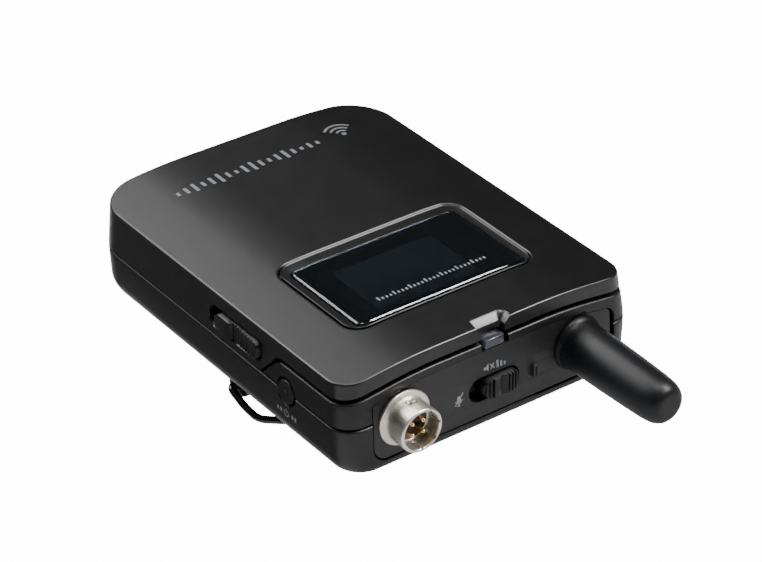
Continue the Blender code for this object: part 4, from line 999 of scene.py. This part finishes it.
# ---- connector, antenna, light lens, belt clip --------------------------------------------
def make_connector():
    """Round socket: flange, shell with key grooves and a spring window, insulator, pins."""
    flange = in_mm((0.0, -43.0), (4.68, -43.0), (4.68, -44.62), (5.62, -44.62), (5.76, -44.68),
                   (5.83, -44.82), (5.83, -45.12), (5.76, -45.27), (5.60, -45.34),
                   (4.95, -45.37), (4.80, -45.40), (4.71, -45.48), (4.68, -45.62))
    tip = in_mm((4.68, -50.28), (4.65, -50.42), (4.56, -50.54), (4.44, -50.60), (4.22, -50.60),
                (4.10, -50.54), (4.02, -50.42), (4.00, -50.25), (4.00, -46.9), (0.0, -46.9))
    shell = turned("fine_connector_shell", flange + tip, "Y", CONNECTOR, "nickel", 96)
    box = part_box("connector_insulator")
    bore_r = (box[1][0] - box[0][0]) / 2 + 0.02 * MM
    cut(shell, cylinder("bore", "Y", CONNECTOR, bore_r, (-48 * MM, -30 * MM)))
    for angle, radius in ((62, 0.34), (8, 0.30), (-42, 0.32), (-88, 0.26), (142, 0.28),
                          (188, 0.32), (232, 0.28)):
        at = (CONNECTOR[0] + 3.98 * MM * cos(radians(angle)),
              CONNECTOR[1] + 3.98 * MM * sin(radians(angle)))
        cut(shell, cylinder("key_groove", "Y", at, radius * MM, (-47.6 * MM, -52 * MM), steps=16))
    window = block("window", (CONNECTOR[0] - 1.0 * MM, CONNECTOR[0] + 1.0 * MM),
                   (-47.75 * MM, -46.35 * MM), (CONNECTOR[1] + 3.2 * MM, CONNECTOR[1] + 6 * MM))
    cut(shell, window)
    stand_for(smooth(shell, 34), "connector_shell")
    for k, (left, rear, low) in enumerate(((-0.85, -46.55, 4.2), (0.05, -47.05, 4.3))):
        tab = block(f"spring_tab_{k + 1}",
                    (CONNECTOR[0] + left * MM, CONNECTOR[0] + (left + 0.8) * MM),
                    ((rear - 0.45) * MM, rear * MM),
                    (CONNECTOR[1] + (low - 0.3) * MM, CONNECTOR[1] + (low + 0.45) * MM), "nickel")
        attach(smooth(soften(tab, 0.08 * MM)), "case")
    for k in range(1, 5):
        node = f"connector_pin_{k}"
        low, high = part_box(node)
        centre = ((low[0] + high[0]) / 2, (low[2] + high[2]) / 2)
        radius = (high[0] - low[0]) / 2
        front = low[1]
        points = [(0.0, high[1]), (radius, high[1]), (radius, front + 0.55 * MM),
                  (radius * 0.92, front + 0.3 * MM), (radius * 0.6, front + 0.08 * MM),
                  (radius * 0.3, front), (0.0, front)]
        pin = turned(f"fine_{node}", points, "Y", centre, "gold", 28)
        stand_for(smooth(pin, 40), node)


def make_antenna():
    """Rubber boot: low collar, long tapering shaft, generously rounded end."""
    back_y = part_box("antenna_boot")[1][1]
    profile = [(0.0, back_y), (5.60 * MM, back_y)]
    profile += in_mm((5.75, -44.75), (5.76, -45.0), (5.72, -45.25), (5.62, -45.48), (5.48, -45.70),
                     (5.36, -45.95), (5.28, -46.3), (5.22, -46.8), (5.18, -47.6), (5.15, -49.0),
                     (5.12, -52.0), (5.06, -56.0), (4.97, -60.0), (4.86, -64.0), (4.74, -67.0),
                     (4.62, -68.6), (4.45, -69.7), (4.20, -70.5), (3.86, -71.1), (3.45, -71.5),
                     (3.0, -71.75), (2.66, -71.86), (2.48, -71.885), (2.38, -71.89),
                     (0.0, -71.89))
    boot = turned("fine_antenna_boot", profile, "Y", ANTENNA, "rubber_black", 96)
    stand_for(smooth(boot, 24), "antenna_boot")


def make_light_lens():
    """Small clear block over the status light, its edges rounded."""
    low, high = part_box("light_lens")
    lens = block("fine_light_lens", (low[0] + 0.35 * MM, high[0] - 0.5 * MM), (low[1], high[1]),
                 (low[2], high[2] - 0.2 * MM), "light_lens")
    stand_for(smooth(soften(lens, 0.16 * MM, 3), 40), "light_lens")


def make_belt_clip():
    """Bent wire with wide bends, pivoting in the two lugs."""
    y, z = CLIP_PIVOT
    half = [(28.2 * MM, y, z), (32.0 * MM, y, z)]
    half += [(a * MM, b * MM, c * MM) for a, b, c in
             ((32.0, -7.0, -3.5), (31.2, -10.9, -5.0), (27.3, -13.7, -5.35), (17.0, -22.0, -5.35),
              (14.0, -29.5, -3.0), (13.0, -34.0, -4.2))]
    other = [(-a, b, c) for a, b, c in reversed(half)]
    route = bent_route(half + other, 1.5 * MM, 14)
    stand_for(tube("fine_belt_clip", route, CLIP_WIRE_R, "wire_black", 24), "belt_clip")


def bent_route(points, corner, steps):
    """Polyline with each inner corner replaced by a quadratic bend."""
    points = [Vector(p) for p in points]
    route = [points[0]]
    for before, at, after in zip(points, points[1:], points[2:]):
        reach = min(corner, (before - at).length / 2, (after - at).length / 2)
        start = at + (before - at).normalized() * reach
        end = at + (after - at).normalized() * reach
        for k in range(steps + 1):
            t = k / steps
            at_t = start * (1 - t) ** 2 + at * 2 * t * (1 - t) + end * t ** 2
            if (at_t - route[-1]).length > 0.02 * MM:
                route.append(at_t)
    if (points[-1] - route[-1]).length > 0.02 * MM:
        route.append(points[-1])
    return route


# ---- printed marks ------------------------------------------------------------------------
PRINT_THICKNESS = 0.05 * MM
LENS_PRINT_Z = TOP_Z + 0.12 * MM


def printed(name, body, shapes, surface, finish):
    """Thin print: flat shapes given as (a, b) outlines in millimetres, laid on a surface."""
    bm = bmesh.new()
    for shape in shapes:
        points = in_mm(*shape)
        lower = [bm.verts.new(surface(a, b, -PRINT_THICKNESS)) for a, b in points]
        upper = [bm.verts.new(surface(a, b, PRINT_THICKNESS)) for a, b in points]
        bm.faces.new(upper)
        bm.faces.new(list(reversed(lower)))
        for k in range(len(points)):
            after = (k + 1) % len(points)
            bm.faces.new((lower[k], lower[after], upper[after], upper[k]))
    mark = mesh_object(name, bm, finish)
    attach(mark, body)
    return mark


def bar(x, y):
    return [(x[0], y[0]), (x[1], y[0]), (x[1], y[1]), (x[0], y[1])]


def band(centre, radius, width, start, end, steps=20):
    """Curved stroke."""
    outer = arc(centre, radius + width / 2, start, end, steps)
    inner = arc(centre, radius - width / 2, end, start, steps)
    return outer + inner


def stroke(start, end, width):
    along = Vector((end[0] - start[0], end[1] - start[1])).normalized()
    side = Vector((-along.y, along.x)) * width / 2
    return [(start[0] + side.x, start[1] + side.y), (start[0] - side.x, start[1] - side.y),
            (end[0] - side.x, end[1] - side.y), (end[0] + side.x, end[1] + side.y)]


def make_case_prints():
    """Crossed loudspeaker with bars, struck-out microphone, power sign between bars."""
    def on_panel(x, z, lift):
        return (x, front_plane(z) + PANEL_SINK - lift, z)

    def on_side(y, z, lift):
        return (-half_width(z) - lift, y, z)

    mute = [[(-2.1, 13.15), (-1.65, 13.15), (-1.65, 13.75), (-2.1, 13.75)],
            [(-1.55, 13.15), (-0.95, 12.65), (-0.95, 14.25), (-1.55, 13.75)],
            stroke((-0.5, 12.95), (0.4, 13.95), 0.26), stroke((-0.5, 13.95), (0.4, 12.95), 0.26),
            bar((1.0, 1.45), (12.7, 14.2)), bar((1.85, 2.3), (12.7, 13.8)),
            bar((2.7, 3.15), (12.7, 13.4))]
    printed("mute_mark", "case", mute, on_panel, "print_bright")
    quiet = [arc((-8.2, 9.55), 0.42, 0, 180, 10) + arc((-8.2, 8.95), 0.42, 180, 360, 10),
             band((-8.2, 9.05), 0.78, 0.17, 180, 360, 12), bar((-8.29, -8.11), (7.85, 8.25)),
             bar((-8.6, -7.8), (7.68, 7.85)), stroke((-9.15, 8.0), (-7.2, 10.4), 0.2)]
    printed("quiet_mark", "case", quiet, on_panel, "print_bright")
    power = [band((-26.0, 6.55), 0.72, 0.2, -235, 55, 18), bar((-26.1, -25.9), (6.65, 7.55))]
    power += [bar((at, at + 0.5), (6.1, 7.0)) for at in (-29.2, -28.2, -24.5, -23.5)]
    printed("power_mark", "case", power, on_side, "print_dim")


def make_cover_prints():
    """Radio waves and a row of bars near the rear, a row of ticks on the window."""
    def on_top(x, y, lift):
        return (x, y, crown(x, TOP_Z, TOP_RISE) + lift)

    def on_lens(x, y, lift):
        return (x, y, crown(x, LENS_PRINT_Z, TOP_RISE) + lift)

    middle = 31.3
    signal = [band((20.1, middle), radius, 0.5, 40, 140, 16) for radius in (1.5, 2.8, 4.1)]
    signal.append(arc((20.1, middle), 0.55, 0, 360 - 24, 14))
    heights = (1.2, 2.2, 3.0, 1.6, 2.6, 3.5, 2.0, 1.2, 2.8, 3.4, 2.2, 1.4, 2.4, 3.2, 1.8, 1.0,
               2.0, 1.2)
    for k, height in enumerate(heights):
        left = -21.4 + 2.02 * k
        signal.append(bar((left, left + 0.75), (middle - height / 2, middle + height / 2)))
    printed("signal_mark", "cover", signal, on_top, "print_grey")
    ticks = [bar((-12.1 + 0.94 * k, -11.75 + 0.94 * k),
                 (-24.8, -23.6 if k % 4 == 0 else -24.1)) for k in range(28)]
    printed("level_scale", "cover", ticks, on_lens, "print_bright")


# ---- the whole scene ----------------------------------------------------------------------
dress_cad_nodes()
make_camera()
make_stage()
make_front_cover()
make_window()
make_mid_frame()
make_back_shell()
make_end_panel()
for latch_side in (-1, 1):
    make_latch(latch_side)
make_power_button()
make_mute_slider()
make_connector()
make_antenna()
make_light_lens()
make_belt_clip()
make_case_prints()
make_cover_prints()
